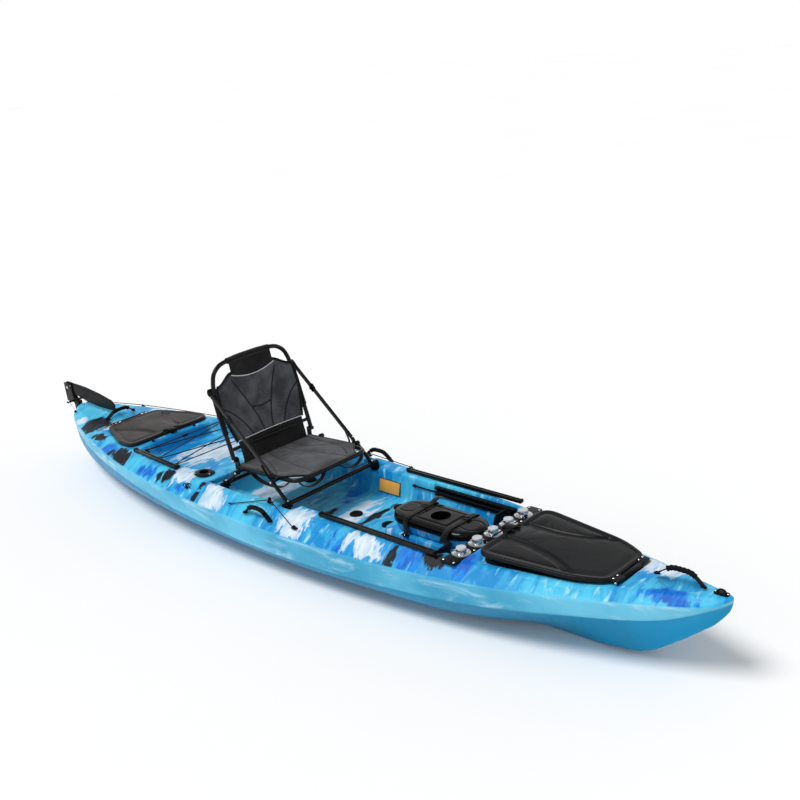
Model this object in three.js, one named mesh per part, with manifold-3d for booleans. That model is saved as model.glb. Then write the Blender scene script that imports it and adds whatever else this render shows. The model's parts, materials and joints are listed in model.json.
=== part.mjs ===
// A sit-on-top fishing kayak with a framed seat, two hatches, a rudder and foot braces.
// Millimetres, +X towards the bow, +Y to port, +Z up. The origin is on the flat keel amidships.
import * as THREE from 'three';
import { mergeVertices } from 'three/addons/utils/BufferGeometryUtils.js';
import Module from 'manifold-3d';

const wasm = await Module();
wasm.setup();

// ---- driving dimensions ----
const halfLength = 1980;
const maxHalfBeam = 414;
const wall = 6; // thickness of the moulded hull
const gap = 0.4; // clearance between touching pieces
const deck = 290; // height of the deck amidships
const bowRise = 38;
const sternRise = 12;
const floor = 168; // cockpit floor
const ledge = 262; // seat ledges beside the cockpit floor
const boardSeat = 273; // recess that the accessory board lies in
const plinthTop = 215; // raised middle of the footwell, under the pod
const tankFloor = 225; // rear tankwell floor
const tubeRadius = 10; // seat frame tube
const trackBottom = 232; // underside of the foot-brace tracks
const mountPitch = 98.5; // spacing of the five deck mounts
const sides = [['port', 1], ['starboard', -1]];

const scupperSpots = [
  [-660, 158], [-660, -158], [-254, 152], [-254, -152], [205, 0],
  [400, 0], [325, 157], [325, -157], [743, 157], [743, -157],
];

// ---- materials ----
const finish = (color, roughness, metalness = 0) =>
  new THREE.MeshStandardMaterial({ color, roughness, metalness });
const looks = {
  hull: finish('#4fbfe4', 0.45),
  blackPlastic: finish('#17181a', 0.45),
  lidRubber: finish('#1d1e20', 0.6),
  rearLid: finish('#3a3735', 0.6),
  anodised: finish('#141416', 0.35, 0.6),
  steel: finish('#c9cbce', 0.25, 1),
  silverCap: finish('#b9bcc0', 0.5, 0.2),
  rubber: finish('#111112', 0.8),
  mesh: finish('#5f6063', 0.9),
  webbing: finish('#161617', 0.9),
};

// ---- shape helpers ----
const V2 = (x, y) => new THREE.Vector2(x, y);
const V3 = (x, y, z) => new THREE.Vector3(x, y, z);
const smooth = (a, b, x) => THREE.MathUtils.smoothstep(x, a, b);
const radians = THREE.MathUtils.degToRad;

// A value read off a list of [position, value] pairs, joined by a smooth curve.
function curveValue(stations, x) {
  const last = stations.length - 1;
  let i = 0;
  while (i < last - 1 && x > stations[i + 1][0]) i += 1;
  const at = (k) => stations[THREE.MathUtils.clamp(k, 0, last)];
  const slope = (k) => {
    const [before, after] = [at(k - 1), at(k + 1)];
    return (after[1] - before[1]) / (after[0] - before[0]);
  };
  const span = at(i + 1)[0] - at(i)[0];
  const t = THREE.MathUtils.clamp((x - at(i)[0]) / span, 0, 1);
  const [t2, t3] = [t * t, t * t * t];
  return (2 * t3 - 3 * t2 + 1) * at(i)[1] + (t3 - 2 * t2 + t) * span * slope(i)
    + (3 * t2 - 2 * t3) * at(i + 1)[1] + (t3 - t2) * span * slope(i + 1);
}

function signedVolume(geometry) {
  const index = geometry.index.array;
  const position = geometry.attributes.position;
  const [a, b, c] = [V3(), V3(), V3()];
  let sum = 0;
  for (let i = 0; i < index.length; i += 3) {
    a.fromBufferAttribute(position, index[i]);
    b.fromBufferAttribute(position, index[i + 1]);
    c.fromBufferAttribute(position, index[i + 2]);
    sum += a.dot(b.cross(c));
  }
  return sum;
}

// Merged vertices, with every face pointing out.
function closed(geometry) {
  const bare = geometry.clone();
  bare.deleteAttribute('normal');
  bare.deleteAttribute('uv');
  const merged = mergeVertices(bare, 1e-4);
  if (signedVolume(merged) < 0) merged.index.array.reverse();
  return merged;
}

function solid(geometry) {
  const merged = closed(geometry);
  return new wasm.Manifold(new wasm.Mesh({
    numProp: 3,
    vertProperties: new Float32Array(merged.attributes.position.array),
    triVerts: new Uint32Array(merged.index.array),
  }));
}

function toGeometry(manifold) {
  const result = manifold.getMesh();
  const geometry = new THREE.BufferGeometry();
  geometry.setAttribute('position', new THREE.BufferAttribute(result.vertProperties, 3));
  geometry.setIndex(new THREE.BufferAttribute(result.triVerts, 1));
  return geometry;
}

const union = (...geometries) => toGeometry(geometries.map(solid).reduce((a, b) => a.add(b)));
const cut = (body, ...tools) =>
  toGeometry(tools.map(solid).reduce((a, b) => a.subtract(b), solid(body)));

// A skin through rings of equally many points, with both ends closed.
// `flat` drops a ring point onto the plane in which the ends are filled.
function loft(rings, flat) {
  const count = rings[0].length;
  const corners = rings.flat();
  const index = [];
  for (let r = 0; r + 1 < rings.length; r += 1) {
    for (let i = 0; i < count; i += 1) {
      const j = (i + 1) % count;
      const [a, b, c, d] = [r * count + i, r * count + j, (r + 1) * count + j, (r + 1) * count + i];
      index.push(a, b, c, a, c, d);
    }
  }
  for (const [start, turned] of [[0, true], [(rings.length - 1) * count, false]]) {
    const outline = corners.slice(start, start + count).map(flat);
    const forwards = THREE.ShapeUtils.area(outline) > 0;
    const order = [...outline.keys()];
    if (!forwards) order.reverse();
    const faces = THREE.ShapeUtils.triangulateShape(order.map((k) => outline[k]), []);
    for (const face of faces) {
      const picked = face.map((k) => start + order[k]);
      if (turned === forwards) picked.reverse();
      index.push(...picked);
    }
  }
  const geometry = new THREE.BufferGeometry().setFromPoints(corners);
  geometry.setIndex(index);
  return geometry;
}

function roundRect(x0, x1, y0, y1, radius, segments = 2) {
  const shape = new THREE.Shape();
  shape.absarc(x1 - radius, y1 - radius, radius, 0, Math.PI / 2);
  shape.absarc(x0 + radius, y1 - radius, radius, Math.PI / 2, Math.PI);
  shape.absarc(x0 + radius, y0 + radius, radius, Math.PI, 1.5 * Math.PI);
  shape.absarc(x1 - radius, y0 + radius, radius, 1.5 * Math.PI, 2 * Math.PI);
  return shape.getPoints(segments);
}

// A polygon whose corners are rounded; each corner is [x, y, radius].
function roundedPolygon(corners, segments = 3) {
  const points = [];
  corners.forEach(([x, y, radius], i) => {
    const corner = V2(x, y);
    const before = corners.at(i - 1);
    const after = corners[(i + 1) % corners.length];
    const start = corner.clone().add(V2(before[0] - x, before[1] - y).setLength(radius));
    const end = corner.clone().add(V2(after[0] - x, after[1] - y).setLength(radius));
    points.push(...new THREE.QuadraticBezierCurve(start, corner, end).getPoints(segments));
  });
  return points;
}

function prism(points, z0, z1) {
  const geometry = new THREE.ExtrudeGeometry(new THREE.Shape(points), {
    depth: z1 - z0, bevelEnabled: false, steps: 1,
  });
  return geometry.translate(0, 0, z0);
}

const box = (x0, x1, y0, y1, z0, z1) => new THREE.BoxGeometry(x1 - x0, y1 - y0, z1 - z0)
  .translate((x0 + x1) / 2, (y0 + y1) / 2, (z0 + z1) / 2);

const disc = (x, y, radius, z0, z1, segments = 20) =>
  new THREE.CylinderGeometry(radius, radius, z1 - z0, segments)
    .rotateX(Math.PI / 2).translate(x, y, (z0 + z1) / 2);

// Two distances from the middle, as lowest and highest y on side `s`.
const across = (s, y0, y1) => [Math.min(s * y0, s * y1), Math.max(s * y0, s * y1)];

// A rod between two points.
function rod(from, to, radius, segments = 8) {
  const along = to.clone().sub(from);
  const geometry = new THREE.CylinderGeometry(radius, radius, along.length(), segments);
  geometry.applyQuaternion(new THREE.Quaternion().setFromUnitVectors(V3(0, 1, 0), along.normalize()));
  return geometry.translate(...from.clone().add(to).multiplyScalar(0.5).toArray());
}

// A profile of [radius, height] points turned about the Z axis.
const turned = (profile, segments = 20) =>
  new THREE.LatheGeometry(profile.map(([r, z]) => V2(r, z)), segments).rotateX(Math.PI / 2);

// A tube along a smooth curve through the points.
function tube(points, radius, steps, segments = 8) {
  const section = new THREE.Shape().absarc(0, 0, radius, 0, 2 * Math.PI);
  return new THREE.ExtrudeGeometry(new THREE.Shape(section.getSpacedPoints(segments).slice(0, -1)), {
    extrudePath: new THREE.CatmullRomCurve3(points, false, 'centripetal'),
    steps,
    bevelEnabled: false,
  });
}

const kayak = new THREE.Group();

function add(name, geometry, material, parent = kayak) {
  const mesh = new THREE.Mesh(closed(geometry), material);
  mesh.name = name;
  parent.add(mesh);
  return mesh;
}

// ---- hull lines ----
const beamStations = [
  [-1980, 10], [-1955, 62], [-1874, 121], [-1753, 175], [-1512, 260], [-1149, 347], [-787, 396],
  [-304, 414], [179, 405], [663, 368], [1146, 299], [1508, 211], [1750, 130], [1919, 63],
  [1960, 34], [1980, 10],
];
const keelStations = [
  [-1980, 215], [-1935, 110], [-1850, 40], [-1700, 10], [-1450, 0], [-800, 0], [800, 0], [1350, 0],
  [1578, 12], [1687, 32], [1790, 100], [1878, 171], [1921, 208], [1962, 262], [1980, 300],
];
const chineStations = [
  [-1980, 235], [-1500, 200], [-1000, 178], [-500, 140], [0, 116], [500, 118], [1000, 140],
  [1441, 182], [1764, 219], [1980, 306],
];
const sheerStations = [
  [-1980, 275], [-1500, 262], [-1000, 243], [-500, 228], [0, 218], [500, 218], [1000, 230],
  [1442, 258], [1909, 290], [1980, 314],
];

const halfBeam = (x) => curveValue(beamStations, x);
const deckHeight = (x) => {
  if (x > 1000) return deck + bowRise * ((x - 1000) / 980) ** 2;
  return deck + sternRise * (Math.max(-1100 - x, 0) / 880) ** 2;
};
const shoulderInset = (beam) => 85 * Math.sqrt(beam / maxHalfBeam);

// Half of the cross-section at x, from the keel up to the middle of the deck.
function halfSection(x, inset) {
  const beam = Math.max(halfBeam(x) - inset, 3);
  const keel = curveValue(keelStations, x) + inset;
  const top = deckHeight(x) - inset;
  const sheer = Math.min(curveValue(sheerStations, x), top - 2);
  const chine = Math.min(curveValue(chineStations, x), sheer - 2);
  const flat = Math.min(60, beam * 0.3);
  const chineBeam = beam - Math.min(6, beam * 0.1);
  const hollow = smooth(900, 1650, x);
  const across = (part) => flat + part * (chineBeam - flat);
  const up = (part) => keel + part * Math.max(chine - keel, 1);
  const mix = THREE.MathUtils.lerp;
  const bottom = new THREE.CubicBezierCurve(
    V2(flat, keel),
    V2(across(mix(0.5, 0.12, hollow)), up(mix(0, 0.5, hollow))),
    V2(across(mix(0.88, 0.5, hollow)), up(mix(0.3, 0.95, hollow))),
    V2(chineBeam, up(1)),
  );
  const shoulder = Math.max(beam - shoulderInset(beam), beam * 0.3);
  return [V2(0, keel), ...bottom.getPoints(4), V2(beam, sheer), V2(shoulder, top - 3), V2(0, top)];
}

// The skin moved in by `inset`, leaving out `skipped` stations at each end.
function hullLoft(inset, skipped = 0) {
  const count = 30;
  const rings = [];
  for (let i = skipped; i <= count - skipped; i += 1) {
    const x = -halfLength * Math.cos(Math.PI * i / count); // stations crowd towards both ends
    const half = halfSection(x, inset);
    const mirrored = half.slice(1, -1).reverse().map((p) => V2(-p.x, p.y));
    rings.push([...half, ...mirrored].map((p) => V3(x, p.x, p.y)));
  }
  return loft(rings, (p) => V2(p.y, p.z));
}

// A moulded well: a rounded rectangle at deck level whose walls lean in by `lean` at its floor.
function well({ x0, x1, y, radius, bottom, lean = 0, grow = 0 }) {
  const outline = (shrink, z) => roundRect(
    x0 - grow + shrink, x1 + grow - shrink, -y - grow + shrink, y + grow - shrink, radius + grow,
  ).map((p) => V3(p.x, p.y, z));
  const rings = [outline(lean, bottom - grow), outline(0, deck + 1.5), outline(0, deck + 120)];
  return loft(rings, (p) => V2(p.x, p.y));
}

const wells = [
  { x0: -436, x1: 130, y: 300, radius: 30, bottom: ledge, lean: 4 }, // seat ledges
  { x0: -398, x1: -296, y: 296, radius: 12, bottom: ledge - 12, lean: 2 }, // rear foot notches
  { x0: -10, x1: 126, y: 296, radius: 12, bottom: ledge - 12, lean: 2 }, // front foot notches
  { x0: -1092, x1: -580, y: 250, radius: 60, bottom: tankFloor, lean: 14 }, // tankwell
  { x0: 932, x1: 1016, y: 293, radius: 10, bottom: boardSeat }, // board recess
  { x0: 462, x1: 912, y: 256, radius: 10, bottom: trackBottom - gap, lean: 1 }, // foot-brace tracks
];
const cockpit = { x0: -433, x1: 940, y: 244, radius: 40, bottom: floor, lean: 14 };

// The raised middle of the footwell, narrower at its top; `grow` is negative inside the skin.
function plinth(grow) {
  const outline = (shrink, z) => roundRect(455 - grow + shrink, 1100, -116 - grow + shrink,
    116 + grow - shrink, 50).map((p) => V3(p.x, p.y, z));
  return loft([outline(0, floor - 40), outline(8, plinthTop + grow)], (p) => V2(p.x, p.y));
}

function dish(x, y, z, [rx, ry, rz], grow) {
  return new THREE.SphereGeometry(1, 12, 8)
    .scale(rx + grow, ry + grow, rz + grow).translate(x, y, z);
}
const dishes = [
  [1778, 0, deckHeight(1778) + 4, [84, 40, 34]],
  [-1582, 0, deckHeight(-1582) + 4, [50, 70, 34]],
  [-5, 352, deck - 14, [62, 42, 30]],
  [-5, -352, deck - 14, [62, 42, 30]],
];

// ---- hatches ----
// Each hatch lies in its own frame: x runs away from the hinge, and z = 0 is its flat seat.
const frontHatch = {
  name: 'front_hatch', hinge: 1592, seat: deckHeight(1577) - 9, tilt: Math.atan2(13, 517), way: -1,
  outline: [[15, 116, 40], [130, 172, 60], [532, 228, 70]], colour: looks.lidRubber,
};
const rearHatch = {
  name: 'rear_hatch', hinge: -1494, seat: 281.5, tilt: 0, way: 1,
  outline: [[19, 152, 40], [260, 247, 30], [369, 247, 50]], colour: looks.rearLid,
};

function hatchGroup({ hinge, seat, tilt, way }) {
  const group = new THREE.Group();
  group.position.set(hinge, 0, seat);
  group.rotation.set(0, tilt, way < 0 ? Math.PI : 0, 'ZYX');
  group.updateMatrixWorld();
  return group;
}

// The lid's outline, moved in by `inset` all round.
function hatchOutline({ outline }, inset) {
  const [start, middle, end] = outline;
  const inner = [
    [start[0] + inset, start[1] - inset * 0.8, start[2] - inset * 0.5],
    [middle[0], middle[1] - inset, middle[2]],
    [end[0] - inset, end[1] - inset, end[2] - inset * 0.5],
  ];
  const mirrored = inner.map(([x, y, r]) => [x, -y, r]).reverse();
  return roundedPolygon([...mirrored, ...inner]);
}

// The flat seat cut for the lid and its hinge, the skin left under it, and the way into the hull.
function hatchCuts(hatch) {
  const { matrix } = hatchGroup(hatch);
  const recess = (bottom, grow) => union(
    prism(hatchOutline(hatch, -4 - grow), bottom, 80),
    box(-18 - grow, 60, -114 - grow, 114 + grow, bottom, 79),
  ).applyMatrix4(matrix);
  const hole = prism(hatchOutline(hatch, 30), -40, 10).applyMatrix4(matrix);
  return { seat: recess(0, 0), support: recess(-wall, wall), hole };
}

// ---- hull ----
function hull() {
  const basin = (grow, plinthGrow) =>
    cut(well({ ...cockpit, grow }), plinth(plinthGrow));
  const hatchTools = [frontHatch, rearHatch].map(hatchCuts);
  const hollow = cut(
    hullLoft(wall, 2),
    basin(wall, -wall),
    ...wells.map((w) => well({ ...w, grow: wall })),
    ...dishes.map(([x, y, z, size]) => dish(x, y, z, size, wall)),
    ...scupperSpots.map(([x, y]) => disc(x, y, 13 + wall, -10, deck, 8)),
    ...hatchTools.map((tool) => tool.support),
  );
  return cut(
    hullLoft(0),
    basin(0, 0),
    ...wells.map(well),
    ...dishes.map(([x, y, z, size]) => dish(x, y, z, size, 0)),
    ...scupperSpots.map(([x, y]) => disc(x, y, 13, -10, deck, 8)),
    ...sides.map(([, s]) => disc(-525, s * 253, 27, 180, 400, 16)),
    ...hatchTools.map((tool) => tool.seat),
    hollow,
    ...hatchTools.map((tool) => tool.hole),
  );
}
add('hull', hull(), looks.hull);

const lidTop = 22;
const pinHeight = 12;

function gasket(hatch) {
  return cut(prism(hatchOutline(hatch, 12), gap, 4.6), prism(hatchOutline(hatch, 24), -5, 10));
}

// A shallow lid with a skirt, and two tabs that turn on the hinge pin.
function lid(hatch) {
  const tabs = sides.map(([, s]) => box(-9, 24, s * 83 - 23, s * 83 + 23, 5, 19));
  const shell = cut(prism(hatchOutline(hatch, 0), 5, lidTop), prism(hatchOutline(hatch, 6), 0, 17));
  return cut(union(shell, ...tabs), rod(V3(0, -120, pinHeight), V3(0, 120, pinHeight), 4.3, 10));
}

function hingeBracket() {
  const body = union(box(-16, 9, -58, 58, gap, 4), box(-8, 8, -58, 58, 3, 19));
  return cut(body, rod(V3(0, -70, pinHeight), V3(0, 70, pinHeight), 4.3, 10));
}

// A lever across the lid's free edge, with a lip that hooks down over the deck.
function latch(edge) {
  return union(
    box(edge - 24, edge + 30, -20, 20, lidTop + 1.5, lidTop + 9),
    box(edge - 20, edge - 6, -41, 41, lidTop + 1.5, lidTop + 9),
    box(edge + 22, edge + 30, -20, 20, 12, lidTop + 9),
  );
}

for (const hatch of [frontHatch, rearHatch]) {
  const group = hatchGroup(hatch);
  kayak.add(group);
  add(`${hatch.name}_gasket`, gasket(hatch), looks.rubber, group);
  add(`${hatch.name}_lid`, lid(hatch), hatch.colour, group);
  add(`${hatch.name}_hinge`, hingeBracket(), looks.blackPlastic, group);
  add(`${hatch.name}_pin`, rod(V3(0, -112, pinHeight), V3(0, 112, pinHeight), 3.6), looks.steel, group);
  add(`${hatch.name}_latch`, latch(hatch.outline[2][0]), looks.blackPlastic, group);
}

// ---- accessory rails: slotted channels along the deck ----
function rail(length) {
  const profile = [
    [-10, 0], [10, 0], [10, 14], [3.5, 14], [3.5, 11], [7, 11], [7, 4],
    [-7, 4], [-7, 11], [-3.5, 11], [-3.5, 14], [-10, 14],
  ].map(([y, z]) => V2(y, z));
  return prism(profile, 0, length).rotateX(Math.PI / 2).rotateZ(Math.PI / 2);
}

for (const [side, s] of sides) {
  const front = add(`front_rail_${side}`, rail(622), looks.anodised);
  front.position.set(285, s * 273, deck + gap);
  const rear = add(`rear_rail_${side}`, rail(371), looks.anodised);
  rear.position.set(-1057, s * 264, deck + gap);
  rear.rotation.z = s * Math.atan2(28, 369);
}

// ---- accessory board with its five capped mounts ----
const boardTop = boardSeat + gap + 8;
add('accessory_board', prism(roundedPolygon([
  [939, -287, 12], [1009, -287, 12], [1009, 287, 12], [939, 287, 12],
], 2), boardSeat + gap, boardTop), looks.blackPlastic);

const mountBase = () => turned([
  [0, 0], [37.5, 0], [37.5, 4], [21, 5], [21, 18], [16, 18], [16, 3], [0, 3],
], 16);
const mountCap = () => turned([
  [0, 8], [14.6, 8], [14.6, 18.4], [20, 18.4], [20, 27], [0, 28],
], 16);
for (let i = 0; i < 5; i += 1) {
  const y = (i - 2) * mountPitch;
  add(`board_mount_${i + 1}`, mountBase(), looks.steel).position.set(974, y, boardTop + gap);
  add(`mount_cap_${i + 1}`, mountCap(), looks.silverCap).position.set(974, y, boardTop + gap);
}

// ---- flush rod holders ----
const rodHolder = () => turned([
  [0, -205], [24, -205], [24, 0], [50, 0], [50, 3], [46, 5], [21.5, 5], [21.5, -200], [0, -200],
], 16);
for (const [side, s] of sides) {
  add(`rod_holder_${side}`, rodHolder(), looks.blackPlastic).position.set(-525, s * 253, deck + gap);
}

// ---- carrying handles: arched grips on two eyes ----
function handle(span, rise) {
  const half = span / 2;
  const arch = [[-1, 0], [-0.78, 0.42], [-0.42, 0.92], [0, 1], [0.42, 0.92], [0.78, 0.42], [1, 0]];
  const bow = tube(arch.map(([x, z]) => V3(x * half, 0, z * rise)), 7, 10, 6);
  const grip = tube(arch.slice(2, -2).map(([x, z]) => V3(x * half, 0, z * rise)), 9.5, 4);
  return union(bow, grip);
}
function addHandle(name, span, rise, [x, y, z], lean, turn) {
  const group = new THREE.Group();
  group.position.set(x, y, z);
  group.rotation.set(lean, 0, turn, 'ZXY');
  kayak.add(group);
  add(name, handle(span, rise), looks.rubber, group);
}
addHandle('bow_handle', 176, 36, [1778, 0, deckHeight(1778) + 14], radians(-15), 0);
addHandle('stern_handle', 164, 34, [-1580, 0, deckHeight(-1580) + 10], radians(15), Math.PI / 2);
for (const [side, s] of sides) {
  addHandle(`side_handle_${side}`, 161, 38, [-5, s * 380, deck - 36], 0, 0);
}

// ---- rudder ----
const yawX = -2010;
const pivot = V3(-2075, 0, 378);
function rudderBracket() {
  const lug = (z) => union(box(yawX - 2, -1990, -13, 13, z, z + 10), disc(yawX, 0, 13, z, z + 10, 16));
  return cut(
    union(box(-1996, -halfLength - gap, -12, 12, 222, 312), lug(232), lug(300)),
    disc(yawX, 0, 5.8, 200, 330, 12),
  );
}
function rudderYoke() {
  const sleeve = cut(disc(yawX, 0, 12, 243, 299, 16), disc(yawX, 0, 5.8, 200, 330, 12));
  const web = box(-2037, yawX - 10, -6, 6, 246, 298);
  const post = box(-2037, -2025, -9.5, 9.5, 290, 322);
  const tee = box(-2037, -1992, -9.5, 9.5, 314, 322);
  const arms = box(-2006, -1991, -70, 70, 314, 322);
  const cheeks = sides.map(([, s]) => box(-2104, -2030, ...across(s, 4.6, 9.5), 296, 404));
  const bore = rod(V3(pivot.x, -20, pivot.z), V3(pivot.x, 20, pivot.z), 5.2, 12);
  const clear = box(-2130, -1960, -4.6, 4.6, 323, 430);
  return cut(union(cut(union(web, post, tee), disc(yawX, 0, 8, 200, 300, 12)), arms, sleeve, ...cheeks),
    bore, clear);
}
function rudderBlade() {
  const outline = new THREE.Shape();
  outline.moveTo(-2058, 350);
  outline.lineTo(-1965, 332);
  outline.bezierCurveTo(-1900, 312, -1800, 308, -1660, 309);
  outline.bezierCurveTo(-1606, 312, -1604, 352, -1640, 372);
  outline.bezierCurveTo(-1760, 404, -1900, 414, -2050, 412);
  outline.absarc(pivot.x, pivot.z, 34, 0.4 * Math.PI, 1.72 * Math.PI);
  const blade = prism(outline.getPoints(6), -4, 4).rotateX(Math.PI / 2);
  return cut(blade, rod(V3(pivot.x, -20, pivot.z), V3(pivot.x, 20, pivot.z), 5.2, 12));
}
add('rudder_bracket', rudderBracket(), looks.blackPlastic);
add('rudder_pin', disc(yawX, 0, 5, 230, 313, 12), looks.steel);
add('rudder_yoke', rudderYoke(), looks.blackPlastic);
add('rudder_blade', rudderBlade(), looks.blackPlastic);
add('blade_pin', rod(V3(pivot.x, -13, pivot.z), V3(pivot.x, 13, pivot.z), 4.6, 12), looks.steel);

// ---- foot braces: a notched track, a slider with its adjusting rod, and a tilting pedal ----
// Drawn for the port side; `s` mirrors them.
const pedalPivot = V3(858, 0, 196);
function footTrack(s) {
  const notches = [];
  for (let i = 0; i < 12; i += 1) {
    const x = 492 + i * 30;
    notches.push(box(x, x + 9, ...across(s, 220, 236), trackBottom + 32, trackBottom + 50));
  }
  const channel = box(460, 920, ...across(s, 220, 242), trackBottom + 9, trackBottom + 31);
  return cut(box(471, 903, ...across(s, 231, 253), trackBottom, trackBottom + 40), channel, ...notches);
}
function footSlider(s) {
  const block = box(830, 886, ...across(s, 222, 240), 244, 260);
  const arm = box(846, 870, ...across(s, 222, 227), 188, 250);
  const pull = rod(V3(352, s * 229, 252), V3(835, s * 229, 252), 3.5);
  const knob = rod(V3(345, s * 229, 252), V3(366, s * 229, 252), 7, 10);
  const bore = rod(V3(pedalPivot.x, s * 215, pedalPivot.z), V3(pedalPivot.x, s * 235, pedalPivot.z), 5.2, 12);
  return cut(union(block, arm, pull, knob), bore);
}
function footPedal(s) {
  const face = prism(roundRect(-4, 86, -40, 40, 12), -4, 4).rotateY(radians(-78))
    .translate(pedalPivot.x, s * 178, pedalPivot.z);
  const axle = rod(V3(pedalPivot.x, s * 139, pedalPivot.z), V3(pedalPivot.x, s * 229, pedalPivot.z), 4.6, 12);
  return union(face, axle);
}
for (const [side, s] of sides) {
  add(`foot_track_${side}`, footTrack(s), looks.blackPlastic);
  add(`foot_slider_${side}`, footSlider(s), looks.blackPlastic);
  add(`foot_pedal_${side}`, footPedal(s), looks.blackPlastic);
}

// ---- pod on the plinth, held by two straps ----
const podSplit = 262;
const podTop = 290;
function podRing(inset, z) {
  const radius = 98 - inset;
  const shape = new THREE.Shape();
  shape.absarc(926 - 98, 0, radius, -Math.PI / 2, Math.PI / 2);
  shape.absarc(479 + 98, 0, radius, Math.PI / 2, 1.5 * Math.PI);
  return shape.getPoints(6).map((p) => V3(p.x, p.y, z));
}
const podShell = (rings) => loft(rings.map(([inset, z]) => podRing(inset, z)), (p) => V2(p.x, p.y));
function podTub() {
  const bottom = plinthTop + gap;
  return cut(
    podShell([[14, bottom], [8, bottom + 8], [0, podSplit]]),
    podShell([[18, bottom + 5], [12, bottom + 12], [4, podSplit + 5]]),
  );
}
function podCover() {
  const dome = cut(
    podShell([[-1, podSplit + gap], [-1, podSplit + 8], [2, 280], [9, 287], [26, podTop]]),
    podShell([[4, podSplit - 5], [4, podSplit + 8], [8, 278], [14, 283], [26, podTop - 4]]),
  );
  const cup = disc(705, 0, 46, 236, podTop - 2, 16);
  return cut(union(dome, cup), disc(705, 0, 42, 240, podTop + 10, 16));
}
function podStrap(x) {
  const half = [[99.8, 217], [99.8, 275], [91.5, 289], [74, 292]].map(([y, z]) => V2(y, z));
  const outer = [[102.2, 217], [102.2, 276], [92.8, 291], [74.5, 294.5]].map(([y, z]) => V2(y, z));
  const flip = (points) => points.map((p) => V2(-p.x, p.y)).reverse();
  const band = [...outer, ...flip(outer), ...flip(half).reverse(), ...half.slice().reverse()];
  return prism(band, x - 13.5, x + 13.5).rotateX(Math.PI / 2).rotateZ(Math.PI / 2);
}
add('pod_tub', podTub(), looks.blackPlastic);
add('pod_cover', podCover(), looks.blackPlastic);
add('pod_strap_aft', podStrap(599), looks.webbing);
add('pod_strap_fore', podStrap(816), looks.webbing);

// ---- seat: a tube frame on two cross legs, and a folding back ----
const seatY = 214;
const backY = 237;
const legY = 261;
const hingeX = -300;
const hingeZ = 396;
const mirrorPath = (points) => [...points, ...points.slice(0, -1).reverse().map((p) => V3(p.x, -p.y, p.z))];

function seatFrame() {
  const loop = tube(mirrorPath([
    V3(-318, seatY, 352), V3(-150, seatY, 361), V3(30, seatY, 370), V3(68, seatY - 8, 372),
    V3(88, seatY - 34, 373), V3(92, seatY - 70, 373), V3(92, 0, 373),
  ]), tubeRadius, 26);
  const brace = rod(V3(hingeX, -seatY, 353), V3(hingeX, seatY, 353), 9);
  const lugs = sides.map(([, s]) => box(-312, -288, ...across(s, seatY + 4, seatY + 12), 350, 408));
  return union(loop, brace, ...lugs);
}
// A cross tube on two feet, with an arm up to the seat frame at each side.
function seatLeg(footX, topX, topZ) {
  const low = 284;
  const parts = [rod(V3(footX, -290, low), V3(footX, 290, low), tubeRadius)];
  for (const [, s] of sides) {
    parts.push(rod(V3(footX, s * legY, low), V3(topX, s * legY, topZ), 8.5));
    parts.push(rod(V3(topX, s * (seatY + 14), topZ), V3(topX, s * (legY + 10), topZ), 6));
    parts.push(box(footX - 16, footX + 16, ...across(s, 262, 288), ledge - 12 + gap, low - 2));
  }
  return union(...parts);
}
function backFrame() {
  const loop = tube(mirrorPath([
    V3(hingeX, backY, hingeZ - 8), V3(-312, backY, 440), V3(-340, backY, 540), V3(-377, backY - 4, 680),
    V3(-394, backY - 26, 768), V3(-400, backY - 70, 804), V3(-403, 90, 814), V3(-404, 0, 816),
  ]), tubeRadius, 30);
  const brace = rod(V3(-313, -backY, 442), V3(-313, backY, 442), 8);
  return union(loop, brace);
}
function seatPad() {
  const pad = prism(roundRect(-180, 174, -seatY + 12, seatY - 12, 60, 3), -9, 9);
  return pad.rotateY(Math.atan2(352 - 373, 410)).translate(-104, 0, 363);
}
function backPad() {
  const pad = prism(roundedPolygon([
    [0, -222, 25], [250, -222, 60], [346, -150, 50], [346, 150, 50], [250, 222, 60], [0, 222, 25],
  ]), -8, 8);
  return pad.rotateY(-Math.PI / 2 - Math.atan2(87, 360)).translate(-318, 0, 458);
}
function backStrap(s) {
  const from = V3(-378, s * 250, 690);
  const along = V3(-40, s * 250, 396).sub(from);
  const band = box(0, along.length(), -1.2, 1.2, -12.5, 12.5);
  return band.rotateY(Math.atan2(-along.z, along.x)).translate(...from.toArray());
}
add('seat_frame', seatFrame(), looks.anodised);
add('seat_front_leg', seatLeg(68, -20, 367), looks.anodised);
add('seat_rear_leg', seatLeg(-350, -262, 355), looks.anodised);
add('seat_back_frame', backFrame(), looks.anodised);
add('seat_pad', seatPad(), looks.mesh);
add('back_pad', backPad(), looks.mesh);
for (const [side, s] of sides) add(`back_strap_${side}`, backStrap(s), looks.webbing);

// ---- cords, each held along its whole route ----
// A ring of corners square to the route at each of its points.
function cord(points, radius, sideCount = 8) {
  const last = points.length - 1;
  const rings = points.map((point, i) => {
    const along = points[Math.min(i + 1, last)].clone().sub(points[Math.max(i - 1, 0)]).normalize();
    const level = along.clone().cross(V3(0, 0, 1)).normalize();
    const rise = level.clone().cross(along);
    return Array.from({ length: sideCount }, (_, k) => {
      const angle = 2 * Math.PI * k / sideCount;
      return point.clone().addScaledVector(level, radius * Math.cos(angle))
        .addScaledVector(rise, radius * Math.sin(angle));
    });
  });
  return loft(rings, (p) => V2(p.x - p.y, p.z));
}
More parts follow.
